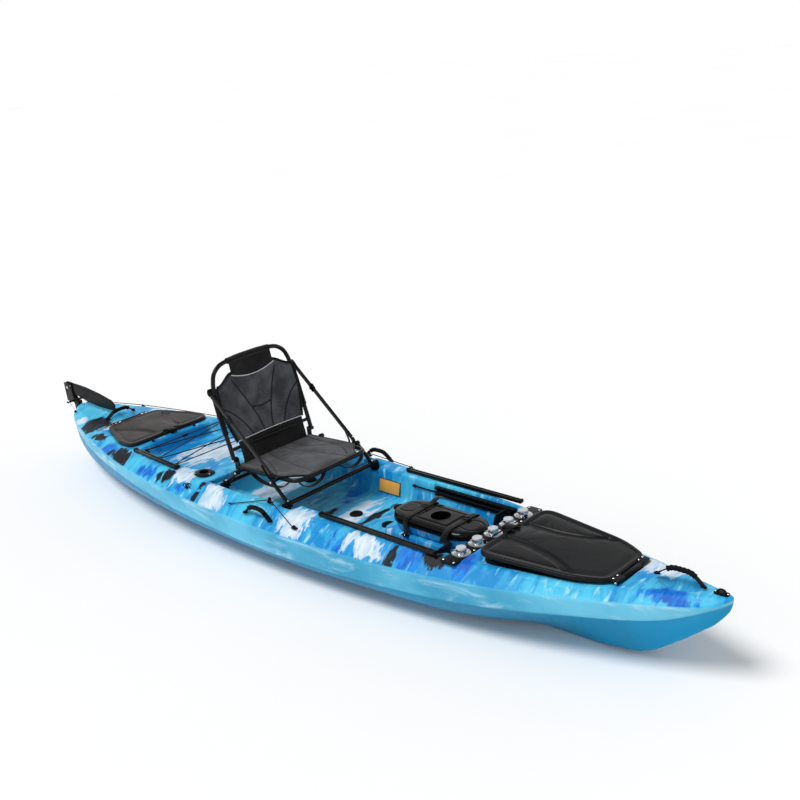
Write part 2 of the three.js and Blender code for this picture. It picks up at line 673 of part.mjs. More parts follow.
// A route of straight runs whose corners are rounded off over `reach` each way.
function roundedRoute(corners, reach) {
  const points = corners.map((p) => V3(...p));
  const route = [points[0]];
  for (let i = 1; i + 1 < points.length; i += 1) {
    const towards = (p) => points[i].clone().add(p.clone().sub(points[i]).setLength(reach));
    const corner = new THREE.QuadraticBezierCurve3(
      towards(points[i - 1]), points[i], towards(points[i + 1]),
    );
    route.push(...corner.getPoints(4));
  }
  return [...route, points.at(-1)];
}
const bungeeCorners = [
  [-1005, -235, 297], [-1005, 235, 297], [-990, 235, 297], [-864, -258, 297], [-850, -258, 297],
  [-717, 263, 297], [-702, 263, 297], [-702, -263, 303], [-717, -263, 303], [-850, 258, 303],
  [-864, 258, 303], [-990, -235, 303],
];
add('tankwell_bungee', cord(roundedRoute(bungeeCorners, 6), 2.5), looks.webbing);
const liftLineRoute = [
  [-1935, 10, 307], [-1790, 100, 301], [-1648, 190, 285], [-1480, 228, 285], [-1312, 268, 282],
  [-1145, 305, 277], [-977, 340, 269], [-800, 362, 263], [-650, 378, 257], [-500, 390, 249],
  [-328, 398, 242], [-238, 402, 238],
];
const liftLine = new THREE.CatmullRomCurve3(liftLineRoute.map((p) => V3(...p)));
add('rudder_lift_line', cord(liftLine.getSpacedPoints(30), 2), looks.webbing);
for (const [side, s] of sides) {
  const corners = [[-206, s * 373, 260], [4, s * 308, 306], [215, s * 373, 256]];
  add(`paddle_bungee_${side}`, cord(roundedRoute(corners, 12), 2), looks.webbing);
}

export default kayak;
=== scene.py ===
"""A sit-on-top fishing kayak: its fine shapes, materials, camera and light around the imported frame.

Moulded parts are solid fields (negative inside) that are turned into meshes.
"""
import json
import math

import bmesh
import bpy
import numpy as np
import openvdb
from mathutils import Euler, Matrix, Vector
from mathutils.kdtree import KDTree


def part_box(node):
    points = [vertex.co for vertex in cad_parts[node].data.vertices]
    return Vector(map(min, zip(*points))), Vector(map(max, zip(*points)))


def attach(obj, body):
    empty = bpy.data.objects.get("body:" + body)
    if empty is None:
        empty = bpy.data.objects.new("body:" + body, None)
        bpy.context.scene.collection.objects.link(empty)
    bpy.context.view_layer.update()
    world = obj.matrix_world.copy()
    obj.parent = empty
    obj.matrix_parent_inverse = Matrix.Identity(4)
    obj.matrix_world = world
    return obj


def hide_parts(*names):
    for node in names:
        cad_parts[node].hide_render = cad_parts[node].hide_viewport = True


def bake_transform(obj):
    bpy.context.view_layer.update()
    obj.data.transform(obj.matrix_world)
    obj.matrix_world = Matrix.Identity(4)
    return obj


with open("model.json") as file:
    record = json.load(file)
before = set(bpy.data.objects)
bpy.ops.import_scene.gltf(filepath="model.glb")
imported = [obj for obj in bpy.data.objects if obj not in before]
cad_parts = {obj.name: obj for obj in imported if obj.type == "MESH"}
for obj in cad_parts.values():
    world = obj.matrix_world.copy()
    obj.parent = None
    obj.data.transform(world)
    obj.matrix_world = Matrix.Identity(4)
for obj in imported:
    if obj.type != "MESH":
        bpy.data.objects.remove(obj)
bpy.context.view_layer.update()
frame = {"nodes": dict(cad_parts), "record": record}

MM = 0.001
SIDES = (("port", 1), ("starboard", -1))

# ---- sizes shared with the frame, in millimetres ----
HALF_LENGTH = 1980
MAX_HALF_BEAM = 414
DECK = 290
FLAT_DECK = (-1100, 1000)  # beyond these the deck rises towards the stern and the bow
BOW_RISE, STERN_RISE = 38, 12
FLOOR, LEDGE, BOARD_SEAT, PLINTH_TOP, TANK_FLOOR = 168, 262, 273, 215, 225
SEAT_Y, BACK_Y, LEG_Y = 214, 237, 261
BOARD_X, MOUNT_PITCH = 974, 98.5
BOARD_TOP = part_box("accessory_board")[1].z / MM
ROD_X, ROD_Y = -525, 253
HANDLE_X = {"bow": 1778, "stern": -1580, "side": -5}
SCUPPERS = [(-660, 158), (-254, 152), (205, 0), (400, 0), (325, 157), (743, 157)]

BEAM = [
    (-1980, 10), (-1955, 62), (-1874, 121), (-1753, 175), (-1512, 260), (-1149, 347), (-787, 396),
    (-304, 414), (179, 405), (663, 368), (1146, 299), (1508, 211), (1750, 130), (1919, 63),
    (1960, 34), (1980, 10),
]
KEEL = [
    (-1980, 215), (-1935, 110), (-1850, 40), (-1700, 10), (-1450, 0), (-800, 0), (800, 0),
    (1350, 0), (1578, 12), (1687, 32), (1790, 100), (1878, 171), (1921, 208), (1962, 262),
    (1980, 300),
]
CHINE = [
    (-1980, 235), (-1500, 200), (-1000, 178), (-500, 140), (0, 116), (500, 118), (1000, 140),
    (1441, 182), (1764, 219), (1980, 306),
]
SHEER = [
    (-1980, 275), (-1500, 262), (-1000, 243), (-500, 228), (0, 218), (500, 218), (1000, 230),
    (1442, 258), (1909, 290), (1980, 314),
]


# ---- camera: the photograph's three-quarter view from ahead on the starboard side ----
CAMERA_PLACE = (3.308, -2.885, 2.138)
CAMERA_AHEAD, CAMERA_RIGHT = (-0.6372, 0.6504, -0.4135), (0.7367, 0.6716, -0.0789)
LENS, SHIFT_UP = 47.6, 0.125


def make_camera():
    forward = Vector(CAMERA_AHEAD).normalized()
    right = Vector(CAMERA_RIGHT)
    right = (right - forward * right.dot(forward)).normalized()
    turn = Matrix((right, right.cross(forward), -forward)).transposed()
    data = bpy.data.cameras.new("camera")
    data.lens = LENS
    data.shift_y = SHIFT_UP
    data.clip_end = 100
    camera = bpy.data.objects.new("camera", data)
    camera.matrix_world = Matrix.Translation(CAMERA_PLACE) @ turn.to_4x4()
    bpy.context.scene.collection.objects.link(camera)
    bpy.context.scene.camera = camera


make_camera()


# ---- number helpers ----
def smooth(a, b, x):
    t = np.clip((x - a) / (b - a), 0, 1)
    return t * t * (3 - 2 * t)


def curve_value(stations, x):
    """The smooth curve through (position, value) pairs, read at x."""
    at, value = np.array(stations, float).T
    slope = np.gradient(value, at)
    slope[1:-1] = (value[2:] - value[:-2]) / (at[2:] - at[:-2])
    i = np.clip(np.searchsorted(at, x) - 1, 0, len(at) - 2)
    span = at[i + 1] - at[i]
    t = np.clip((x - at[i]) / span, 0, 1)
    return ((2 * t**3 - 3 * t**2 + 1) * value[i] + (t**3 - 2 * t**2 + t) * span * slope[i]
            + (3 * t**2 - 2 * t**3) * value[i + 1] + (t**3 - t**2) * span * slope[i + 1])


def deck_height(x):
    aft, fore = FLAT_DECK
    bow = BOW_RISE * (np.maximum(x - fore, 0) / (HALF_LENGTH - fore)) ** 2
    return DECK + bow + STERN_RISE * (np.maximum(aft - x, 0) / (HALF_LENGTH + aft)) ** 2


def shoulder(x):
    beam = curve_value(BEAM, x)
    return np.maximum(beam - 85 * np.sqrt(beam / MAX_HALF_BEAM), beam * 0.3)


def spline(points, steps):
    """`steps` points along a smooth curve through the points, spaced nearly evenly."""
    p = np.array(points, float)
    knots = np.concatenate([[0], np.cumsum(np.linalg.norm(np.diff(p, axis=0), axis=1))])
    at = np.linspace(0, knots[-1], steps)
    return np.stack([curve_value(np.column_stack([knots, p[:, c]]), at) for c in range(3)], axis=1)


def rounded(corners, segments=6):
    """A closed outline through (x, y, radius) corners, each rounded off."""
    points = []
    for i, (x, y, radius) in enumerate(corners):
        corner = np.array((x, y), float)
        before, after = (np.array(corners[k % len(corners)][:2], float) for k in (i - 1, i + 1))
        start, end = (corner + (p - corner) / np.linalg.norm(p - corner) * radius
                      for p in (before, after))
        for t in np.linspace(0, 1, segments + 1):
            points.append((1 - t) ** 2 * start + 2 * t * (1 - t) * corner + t * t * end)
    return points


# ---- materials ----
def linear(code):
    """A hex colour code as the linear colour that shaders use."""
    values = [int(code[i:i + 2], 16) / 255 for i in (1, 3, 5)]
    return [v / 12.92 if v <= 0.04045 else ((v + 0.055) / 1.055) ** 2.4 for v in values] + [1]


class Nodes:
    """A material's node tree, with short calls for the nodes that are used here."""

    def __init__(self, name):
        self.material = bpy.data.materials.new(name)
        self.material.use_nodes = True
        self.tree = self.material.node_tree
        self.shader = self.tree.nodes["Principled BSDF"]
        self.place = self.tree.nodes.new("ShaderNodeTexCoord").outputs["Object"]

    def new(self, kind, inputs=(), **settings):
        node = self.tree.nodes.new(kind)
        for key, value in settings.items():
            setattr(node, key, value)
        for key, value in dict(inputs).items():
            if isinstance(value, bpy.types.NodeSocket):
                self.tree.links.new(value, node.inputs[key])
            else:
                node.inputs[key].default_value = value
        return node

    def stretched(self, scale, turn=(0, 0, 0)):
        inputs = {"Vector": self.place, "Scale": scale, "Rotation": turn}
        return self.new("ShaderNodeMapping", inputs).outputs["Vector"]

    def noise(self, scale, detail=3, at=None, roughness=0.5, twist=0):
        inputs = {"Vector": at or self.place, "Scale": scale, "Detail": detail,
                  "Roughness": roughness, "Distortion": twist}
        return self.new("ShaderNodeTexNoise", inputs).outputs["Fac"]

    def ramp(self, value, low, high, to_low=0, to_high=1):
        inputs = {"Value": value, "From Min": low, "From Max": high, "To Min": to_low,
                  "To Max": to_high}
        node = self.new("ShaderNodeMapRange", inputs, interpolation_type="SMOOTHSTEP")
        return node.outputs["Result"]

    def math(self, operation, a, b):
        return self.new("ShaderNodeMath", {0: a, 1: b}, operation=operation).outputs[0]

    def mix(self, share, a, b):
        colours = [linear(c) if isinstance(c, str) else c for c in (a, b)]
        node = self.new("ShaderNodeMix", {"Factor": share, 6: colours[0], 7: colours[1]},
                        data_type="RGBA")
        return node.outputs[2]

    def threads(self, scale, twist):
        """Two sets of slanting threads that cross."""
        waves = []
        for turn in ((0, 0, 0.785), (0, 0.785, -0.785)):
            inputs = {"Vector": self.stretched((1, 1, 1), turn), "Scale": scale, "Distortion": twist,
                      "Detail": 1}
            waves.append(self.new("ShaderNodeTexWave", inputs).outputs["Fac"])
        return self.math("MULTIPLY", *waves)

    def attribute(self, name, output="Fac"):
        return self.new("ShaderNodeAttribute", attribute_name=name).outputs[output]

    def set(self, **values):
        for key, value in values.items():
            socket = self.shader.inputs[key.replace("_", " ").title().replace("Ior", "IOR")]
            if isinstance(value, bpy.types.NodeSocket):
                self.tree.links.new(value, socket)
            else:
                socket.default_value = value
        return self

    def bump(self, height, distance, strength=1.0):
        node = self.new("ShaderNodeBump", {"Height": height, "Distance": distance * MM,
                                           "Strength": strength})
        self.tree.links.new(node.outputs["Normal"], self.shader.inputs["Normal"])
        return self


def moulded_plastic(name, dark, light, roughness, grain=900, depth=0.05, shine=0.1):
    """Moulded plastic: slow colour drift, fine grain and uneven gloss."""
    n = Nodes(name)
    drift = n.noise(9, 4)
    speck = n.noise(grain, 2)
    n.set(base_color=n.mix(drift, dark, light),
          roughness=n.ramp(n.math("ADD", drift, n.math("MULTIPLY", speck, 0.3)), 0.4, 0.9,
                           roughness - 0.07, roughness + 0.08),
          specular_ior_level=shine)
    return n.bump(speck, depth).material


def brushed_metal(name, dark, light, roughness, metallic=1.0):
    """Metal drawn or turned in one direction, with faint streaks along X."""
    n = Nodes(name)
    streak = n.noise(260, 3, n.stretched((0.08, 1, 1)))
    n.set(base_color=n.mix(streak, dark, light), metallic=metallic,
          roughness=n.ramp(streak, 0.3, 0.7, roughness - 0.06, roughness + 0.08))
    return n.bump(streak, 0.02, 0.5).material


def woven(name, dark, light, pitch):
    """Plain weave: crossing threads `pitch` millimetres wide, with gaps of the same width."""
    n = Nodes(name)
    thread = n.threads(1000 / pitch / 20 * 3.1416, 0.4)  # a wave node turns 20 radians per unit
    wear = n.noise(14, 4)
    n.set(base_color=n.mix(n.math("MULTIPLY", thread, wear), dark, light), roughness=0.85,
          specular_ior_level=0.1, sheen_weight=0.2, sheen_roughness=0.5)
    return n.bump(thread, 0.25).material


def mesh_fabric(name, dark, light):
    """Woven mesh with dark stitching along the seams and puckers beside them."""
    n = Nodes(name)
    thread = n.threads(95, 0.6)
    wear = n.noise(12, 5)
    tone = n.math("ADD", wear, n.math("MULTIPLY", thread, 0.15))
    cloth = n.mix(n.ramp(tone, 0.35, 0.75), dark, light)
    seam = n.attribute("seam")
    n.set(base_color=n.mix(n.ramp(seam, 2.6, 4.6), "#0a0a0c", cloth), roughness=0.82,
          specular_ior_level=0.1, sheen_weight=0.25, sheen_roughness=0.5)
    pucker = n.math("MULTIPLY", n.noise(160, 2), n.ramp(seam, 14, 2))
    return n.bump(n.math("ADD", n.math("MULTIPLY", thread, 0.15), pucker), 1.0).material


def plain_amber():
    n = Nodes("amber_label")
    n.set(base_color=n.mix(n.noise(60, 3), "#dd9a3a", "#e8ad52"), roughness=0.45)
    return n.bump(n.noise(300, 2), 0.04).material


PATCH_LEVEL = 1.93  # what a patch and the ragged brush strokes have to add up to


def camouflage():
    """Blue, white and black brushed paint above the sheer, plain lighter blue below it."""
    n = Nodes("hull_paint")
    strokes = n.noise(5, 6, n.stretched((4.2, 1.1, 1.6), (0, 0, 0.3)), 0.62, 0.6)
    smear = n.noise(14, 4, n.stretched((2.6, 0.8, 1), (0, 0, 0.3)), 0.55, 0.4)
    cloud = n.noise(2.6, 4)
    blotch = n.noise(9, 4)
    ragged = n.math("ADD", n.math("MULTIPLY", strokes, 1.3), n.math("MULTIPLY", smear, 0.8))
    ragged = n.math("ADD", ragged, n.math("MULTIPLY", blotch, 0.7))
    paint = n.new("ShaderNodeSeparateColor", {"Color": n.attribute("paint", "Color")})

    def patch(channel, edge=0.10):
        level = n.math("ADD", paint.outputs[channel], ragged)
        return n.ramp(level, PATCH_LEVEL - edge, PATCH_LEVEL + edge)

    deck = n.mix(n.ramp(n.math("ADD", cloud, n.math("MULTIPLY", strokes, 0.8)), 0.75, 1.05),
                 "#4bbfe4", "#0f86c8")
    deck = n.mix(n.ramp(smear, 0.55, 0.72), deck, "#9ad6ec")
    royal = n.mix(n.ramp(smear, 0.42, 0.62), "#0a5cbe", "#1586de")
    deck = n.mix(patch("Blue", 0.14), deck, royal)
    white = n.mix(n.ramp(smear, 0.35, 0.7), "#d9e3ee", "#a4c6dc")
    deck = n.mix(patch("Red", 0.3), deck, "#1f8fd6")
    deck = n.mix(patch("Red", 0.07), deck, white)
    black = n.mix(n.ramp(smear, 0.5, 0.75), "#0f1116", "#263a50")
    deck = n.mix(patch("Green", 0.07), deck, black)

    band = n.mix(n.ramp(cloud, 0.35, 0.7), "#6cc4e2", "#3f9cc2")
    wisps = n.noise(5, 5, n.stretched((0.7, 1, 2.4)), 0.6, 0.8)
    band = n.mix(n.ramp(wisps, 0.5, 0.72), band, "#a6d6ea")
    below = n.mix(n.ramp(cloud, 0.3, 0.7), "#1192c4", "#2a83a8")
    height = n.attribute("above_sheer")
    band = n.mix(n.ramp(n.attribute("above_chine"), -0.008, 0.004), below, band)
    n.set(base_color=n.mix(n.ramp(height, -0.003, 0.004), band, deck),
          roughness=n.ramp(n.math("ADD", smear, strokes), 0.7, 1.3, 0.3, 0.48),
          specular_ior_level=0.12)
    return n.bump(n.noise(420, 2), 0.12, 0.6).material


LOOKS = {
    "hull": camouflage(),
    "plastic": moulded_plastic("black_plastic", "#08080a", "#141518", 0.36),
    "lid": moulded_plastic("lid_plastic", "#0b0c0e", "#141518", 0.3, 700, 0.08, 0.14),
    "rear_lid": moulded_plastic("rear_lid_plastic", "#211e1d", "#332f2d", 0.36, 700, 0.08, 0.14),
    "gloss": moulded_plastic("pod_plastic", "#040506", "#0a0b0c", 0.16, 1200, 0.02, 0.18),
    "rubber": moulded_plastic("rubber", "#070708", "#0f0f10", 0.6, 1500, 0.08, 0.1),
    "anodised": brushed_metal("anodised_tube", "#070708", "#151517", 0.28, 0.6),
    "steel": brushed_metal("stainless_steel", "#b7babd", "#e3e5e7", 0.2),
    "silver": moulded_plastic("silver_plastic", "#a9adb3", "#d3d6da", 0.4),
    "webbing": woven("webbing", "#050506", "#17171a", 2.2),
    "cord": woven("braided_cord", "#060607", "#19191b", 1.4),
    "back_mesh": mesh_fabric("seat_back_mesh", "#313236", "#55565b"),
    "base_mesh": mesh_fabric("seat_base_mesh", "#2c2d31", "#4d4e53"),
    "black_cloth": mesh_fabric("black_seat_cloth", "#060607", "#17171a"),
    "label": plain_amber(),
}


# ---- moulded parts as solid fields ----
class Space:
    """A grid of points, `step` apart; x, y and z broadcast against each other."""

    def __init__(self, low, high, step):
        self.low, self.step = np.array(low, float), step
        axes = [np.arange(a, b + step, step, np.float32) for a, b in zip(low, high)]
        self.x, self.y, self.z = (axes[0][:, None, None], axes[1][None, :, None],
                                  axes[2][None, None, :])


def blended_max(a, b, radius):
    """The larger of two fields, with the crease between them rounded."""
    near = np.maximum(radius - np.abs(a - b), 0) / radius
    return np.maximum(a, b) + near * near * radius / 4


def polygon_distance(x, y, corners):
    """Distance to a closed outline in the plane, negative inside it."""
    nearest = np.full(np.broadcast(x, y).shape, 1e9)
    inside = np.zeros(nearest.shape, bool)
    for (ax, ay), (bx, by) in zip(corners, corners[1:] + corners[:1]):
        ex, ey = bx - ax, by - ay
        if ex * ex + ey * ey < 1e-9:
            continue
        t = np.clip(((x - ax) * ex + (y - ay) * ey) / (ex * ex + ey * ey), 0, 1)
        nearest = np.minimum(nearest, np.hypot(x - ax - t * ex, y - ay - t * ey))
        if ey:
            inside ^= ((ay > y) != (by > y)) & (x < ax + (y - ay) / ey * ex)
    return np.where(inside, -nearest, nearest)


def rectangle(x, y, x0, x1, half, radius):
    """Distance to a rounded rectangle that lies evenly about y = 0, negative inside it."""
    across = np.abs(x - (x0 + x1) / 2) - (x1 - x0) / 2 + radius
    up = np.abs(y) - half + radius
    corner = np.hypot(np.maximum(across, 0), np.maximum(up, 0))
    return corner + np.minimum(np.maximum(across, up), 0) - radius


def steepness(height, step):
    """How much a height over a slope has to be divided by to become a distance from it."""
    return np.sqrt(1 + sum(g * g for g in np.gradient(height, step)))


def field_mesh(space, field):
    """The skin of a field as points in millimetres and quads that face outwards."""
    reach = 3 * space.step
    grid = openvdb.FloatGrid(reach)
    grid.copyFromArray(np.ascontiguousarray(np.clip(field, -reach, reach), np.float32))
    points, _, quads = grid.convertToPolygons(isovalue=0.0, adaptivity=0.0)
    points = points * space.step + space.low
    a, b, c = (points[quads[:, k]] for k in (0, 1, 2))
    if np.einsum("ij,ij->i", a, np.cross(b, c)).sum() < 0:
        quads = quads[:, ::-1]
    return points, quads


def fit(obj, look, body="root", replaces=()):
    """Gives a piece its material, the body that it rides on and the nodes that it stands for."""
    obj.data.materials.append(LOOKS[look])
    if body:
        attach(obj, body)
    if replaces:
        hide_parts(*replaces)
    return obj


def mesh_object(name, points, faces):
    mesh = bpy.data.meshes.new(name)
    mesh.from_pydata(np.array(points, float) * MM, [], [list(map(int, f)) for f in faces])
    obj = bpy.data.objects.new(name, mesh)
    bpy.context.scene.collection.objects.link(obj)
    return obj


def apply_modifiers(obj):
    evaluated = obj.evaluated_get(bpy.context.evaluated_depsgraph_get())
    mesh = bpy.data.meshes.new_from_object(evaluated)
    obj.modifiers.clear()
    old, obj.data = obj.data, mesh
    mesh.name = obj.name
    bpy.data.meshes.remove(old)
    return obj


def all_smooth(obj):
    obj.data.polygons.foreach_set("use_smooth", [True] * len(obj.data.polygons))
    return obj


def moulded(name, space, field, faces_wanted):
    """A smooth piece from a field, thinned to about `faces_wanted` triangles."""
    points, quads = field_mesh(space, field)
    obj = mesh_object(name, points, quads)
    if 2 * len(quads) > faces_wanted:
        thin = obj.modifiers.new("thin", "DECIMATE")
        thin.ratio = faces_wanted / (2 * len(quads))
        apply_modifiers(obj)
    return all_smooth(obj)


# ---- hatches: each lies in a frame whose x runs away from its hinge, with z = 0 on its seat ----
FRONT_HATCH = {"name": "front_hatch", "hinge": 1592, "seat": float(deck_height(1577)) - 9,
               "tilt": math.atan2(13, 517), "way": -1, "look": "lid", "hold": (1040, 1670),
               "outline": [(15, 116, 40), (130, 172, 60), (532, 228, 70)]}
REAR_HATCH = {"name": "rear_hatch", "hinge": -1494, "seat": 281.5, "tilt": 0, "way": 1,
              "look": "rear_lid", "hold": (-1498, -1112),
              "outline": [(19, 152, 40), (260, 247, 30), (369, 247, 50)]}
HATCHES = (FRONT_HATCH, REAR_HATCH)


def hatch_outline(hatch, inset):
    (ax, ay, ar), (bx, by, br), (cx, cy, cr) = hatch["outline"]
    half = [(ax + inset, ay - inset * 0.8, ar - inset * 0.5), (bx, by - inset, br),
            (cx - inset, cy - inset, cr - inset * 0.5)]
    return rounded([(x, -y, r) for x, y, r in reversed(half)] + half)


# ---- hull ----
HULL_STEP = 6.0
HULL_FACES = 190000
HULL_WALL = 20
OUT = 1000  # added to a distance where a groove is not wanted
WELLS = [  # x0, x1, half width, corner radius, floor, width of the bank
    (-436, 130, 300, 30, LEDGE, 12), (-398, -296, 296, 12, LEDGE - 12, 10),
    (-10, 126, 296, 12, LEDGE - 12, 10), (-1092, -580, 250, 60, TANK_FLOOR, 24),
    (932, 1016, 293, 10, BOARD_SEAT, 8), (462, 912, 256, 10, 231.6, 8),
    (-433, 940, 244, 40, FLOOR, 26),
]
DISHES = [  # centre, then the radii of the bowl under each handle
    (HANDLE_X["bow"], 0, float(deck_height(HANDLE_X["bow"])) + 4, 84, 40, 34),
    (-1582, 0, float(deck_height(-1582)) + 4, 50, 70, 34),
    (HANDLE_X["side"], 352, DECK - 14, 62, 42, 30),
]


def body_field(space):
    """The hull's outer form without its wells: bottom, sides and deck, met in rounded creases."""
    x, y, z = space.x[:, :, 0], space.y[:, :, 0], space.z[0]
    beam, keel, top = curve_value(BEAM, x), curve_value(KEEL, x), deck_height(x)
    sheer = np.minimum(curve_value(SHEER, x), top - 2)
    chine = np.minimum(curve_value(CHINE, x), sheer - 2)
    flat, chine_beam = np.minimum(60, beam * 0.3), beam - np.minimum(6, beam * 0.1)
    hollow = smooth(900, 1650, x)
    t = np.linspace(0, 1, 24)
    ends = [(0, 0), (0.5 - 0.38 * hollow, 0.5 * hollow),
            (0.88 - 0.38 * hollow, 0.3 + 0.65 * hollow), (1, 1)]
    weights = [(1 - t) ** 3, 3 * t * (1 - t) ** 2, 3 * t * t * (1 - t), t**3]
    across = flat + sum(w * e[0] for w, e in zip(weights, ends)) * (chine_beam - flat)
    up = keel + sum(w * e[1] for w, e in zip(weights, ends)) * np.maximum(chine - keel, 1)
    bottom = np.stack([np.interp(y[0], a, u) for a, u in zip(across, up)])
    bottom += np.maximum(y - chine_beam, 0) * 6
    inner = shoulder(x)
    deck = top - 3 * np.minimum(y / inner, 1)
    deck -= np.maximum(y - inner, 0) * (top - 3 - sheer) / (beam - inner)
    side = beam - (beam - chine_beam) * np.clip((sheer - z) / (sheer - chine), 0, 1)
    below, above = (sign * (height[:, :, None] - space.z) / steepness(height, space.step)[:, :, None]
                    for height, sign in ((bottom, 1), (deck, -1)))
    beside = (space.y - side[:, None, :]) / steepness(side, space.step)[:, None, :]
    body = blended_max(blended_max(below, beside, 10), above, 10)
    return blended_max(body, np.abs(space.x) - HALF_LENGTH + 1, 24), deck


def sink(height, outside, floor, bank):
    """Lowers the deck to `floor` inside an outline, over a bank that wide."""
    return height + smooth(0, -bank, outside) * (np.minimum(floor, height) - height)


def groove(height, distance, width, depth):
    """A rounded groove along the line where `distance` is 0."""
    return height - depth * smooth(width / 2, 0, np.abs(distance))


def floor_grooves(height, x, y):
    """Slanting slots in the footwell's floor; straight and slanting lines in the tank well's."""
    slant = x - 0.24 * y
    slots = [(-418 + 66 * i, 22, 110, 88) for i in range(9)]
    slots += [(300, 24, 70, 48), (395, 24, 70, 48)]
    for centre, half, y0, reach in slots:
        slot = rectangle(slant, y - y0, centre - half, centre + half, reach, 20)
        height = groove(height, slot + OUT * (height > FLOOR + 5), 13, 3.5)
    for line in (-1062, -1044, -1026, -650, -632):
        run = np.abs(x - line) + OUT * ((y > 215) | (height > TANK_FLOOR + 4))
        height = groove(height, run, 12, 4)
    for offset in (0, 90, 180):
        vee = np.abs(x + 960 - offset - 0.5 * y) + OUT * ((y > 190) | (height > TANK_FLOOR + 4))
        height = groove(height, vee, 12, 3)
    return height


def hatch_seats(height, x, y):
    """The level seat under each hatch and its hinge, with a groove round it."""
    for hatch in HATCHES:
        local = (x - hatch["hinge"]) * hatch["way"]
        seat = hatch["seat"] - local * math.tan(hatch["tilt"])
        outside = np.minimum(polygon_distance(local, y, hatch_outline(hatch, -4)),
                             rectangle(local, y, -18, 60, 114, 6))
        sunk = height + smooth(0, -6, outside) * (seat - height)
        height = groove(np.where(outside < 0, sunk, height), outside - 16, 10, 2)
    return height


def deck_relief(x, y, deck):
    """The deck's height with everything that is moulded into it from above."""
    height = deck.copy()
    height = groove(height, (y - shoulder(x)) + OUT * (np.abs(x + 150) > 1700), 16, 4)
    for x0, x1, half, radius, floor, bank in WELLS:
        height = sink(height, rectangle(x, y, x0, x1, half, radius), floor, bank)
    raised = np.minimum(PLINTH_TOP, deck) * smooth(2, -10, rectangle(x, y, 455, 1100, 116, 50))
    height = np.where((x < 940) & (x > 400), np.maximum(height, raised), height)
    for x0, x1 in ((88, 124), (-396, -352)):
        pocket = rectangle(x, y - 272, x0, x1, 20, 8)
        height = sink(height, pocket, LEDGE - 44, 10)
    height = floor_grooves(height, x, y)
    for cx, cy, cz, rx, ry, rz in DISHES:
        inside = 1 - ((x - cx) / rx) ** 2 - ((y - cy) / ry) ** 2
        bowl = cz - rz * np.sqrt(np.maximum(inside, 0))
        height = np.where(inside > 0, np.minimum(height, bowl), height)
    blade_rest = rectangle(x, y, -1955, -1640, 14, 12)
    height = hatch_seats(sink(height, blade_rest, 284, 8), x, y)
    for cx, cy in SCUPPERS:
        height -= 3 * smooth(33, 29, np.hypot(x - cx, y - cy))
    return height


def hull_field(space):
    """The hull with its deck, the two holds under the hatches, the drain holes and the rod wells."""
    outer, deck = body_field(space)
    relief = deck_relief(space.x[:, :, 0], space.y[:, :, 0], deck)
    above = (space.z - relief[:, :, None]) / steepness(relief, space.step)[:, :, None]
    field = blended_max(outer, above, 5)
    for hatch in HATCHES:
        x0, x1 = hatch["hold"]
        local = (space.x - hatch["hinge"]) * hatch["way"]
        hole = polygon_distance(local[:, :, 0], space.y[:, :, 0], hatch_outline(hatch, 30))
        hold = np.maximum(outer + HULL_WALL, np.abs(space.x - (x0 + x1) / 2) - (x1 - x0) / 2)
        way_in = np.maximum(hole[:, :, None], hatch["seat"] - 60 - space.z)
        field = blended_max(field, -np.minimum(hold, way_in), 4)
    for cx, cy in SCUPPERS:
        field = blended_max(field, 13 - np.hypot(space.x - cx, space.y - cy), 4)
    rod_well = np.maximum(np.hypot(space.x - ROD_X, space.y - ROD_Y) - 26, 78 - space.z)
    return blended_max(field, -rod_well, 4)


WELLS_END = 1110  # everything above the bottom and inside the gunwales is painted up to here
PAINTED = 0.05  # a height in metres that is well above the sheer line
PATCHES = [  # colour channel, x, y, half length, half width
    ("dark", -1600, -150, 100, 85), ("dark", -1440, -232, 55, 28), ("royal", -1260, -295, 75, 40),
    ("dark", -1130, -320, 95, 45), ("white", -1740, -150, 60, 35), ("white", -1500, -90, 40, 90),
    ("white", -1480, 170, 45, 60), ("white", -1290, 265, 170, 32), ("royal", -870, -352, 85, 32),
    ("dark", -705, -345, 55, 45), ("white", -605, -305, 75, 75), ("royal", -560, -372, 60, 32),
    ("dark", -432, -360, 20, 70), ("white", -335, -350, 75, 80), ("dark", -240, -210, 60, 70),
    ("white", -310, 0, 85, 210), ("royal", -640, -170, 60, 65), ("white", -850, 40, 120, 170),
    ("white", -505, 60, 35, 70), ("royal", -970, 320, 85, 28), ("dark", -872, 345, 26, 40),
    ("white", -660, 330, 90, 25), ("white", 185, -325, 85, 85), ("royal", 450, -355, 60, 35),
    ("white", 590, -325, 100, 50), ("dark", 722, -322, 26, 48), ("royal", 800, -310, 60, 38),
    ("dark", 905, -285, 40, 34), ("dark", 90, -110, 45, 115), ("white", 205, 0, 90, 170),
    ("dark", 292, 40, 28, 150), ("royal", 78, 66, 26, 40), ("royal", 45, 150, 50, 34),
    ("white", 560, -165, 100, 55), ("royal", 530, 115, 55, 30), ("white", 650, 165, 60, 32),
    ("dark", 620, 330, 190, 20), ("white", 230, 345, 110, 26), ("royal", 890, 300, 60, 30),
    ("royal", 1035, -245, 45, 70), ("white", 1045, 140, 40, 130), ("royal", 1790, -82, 110, 40),
    ("white", 1690, 85, 120, 60), ("white", 1540, 175, 60, 30), ("royal", 1300, 250, 90, 20),
]


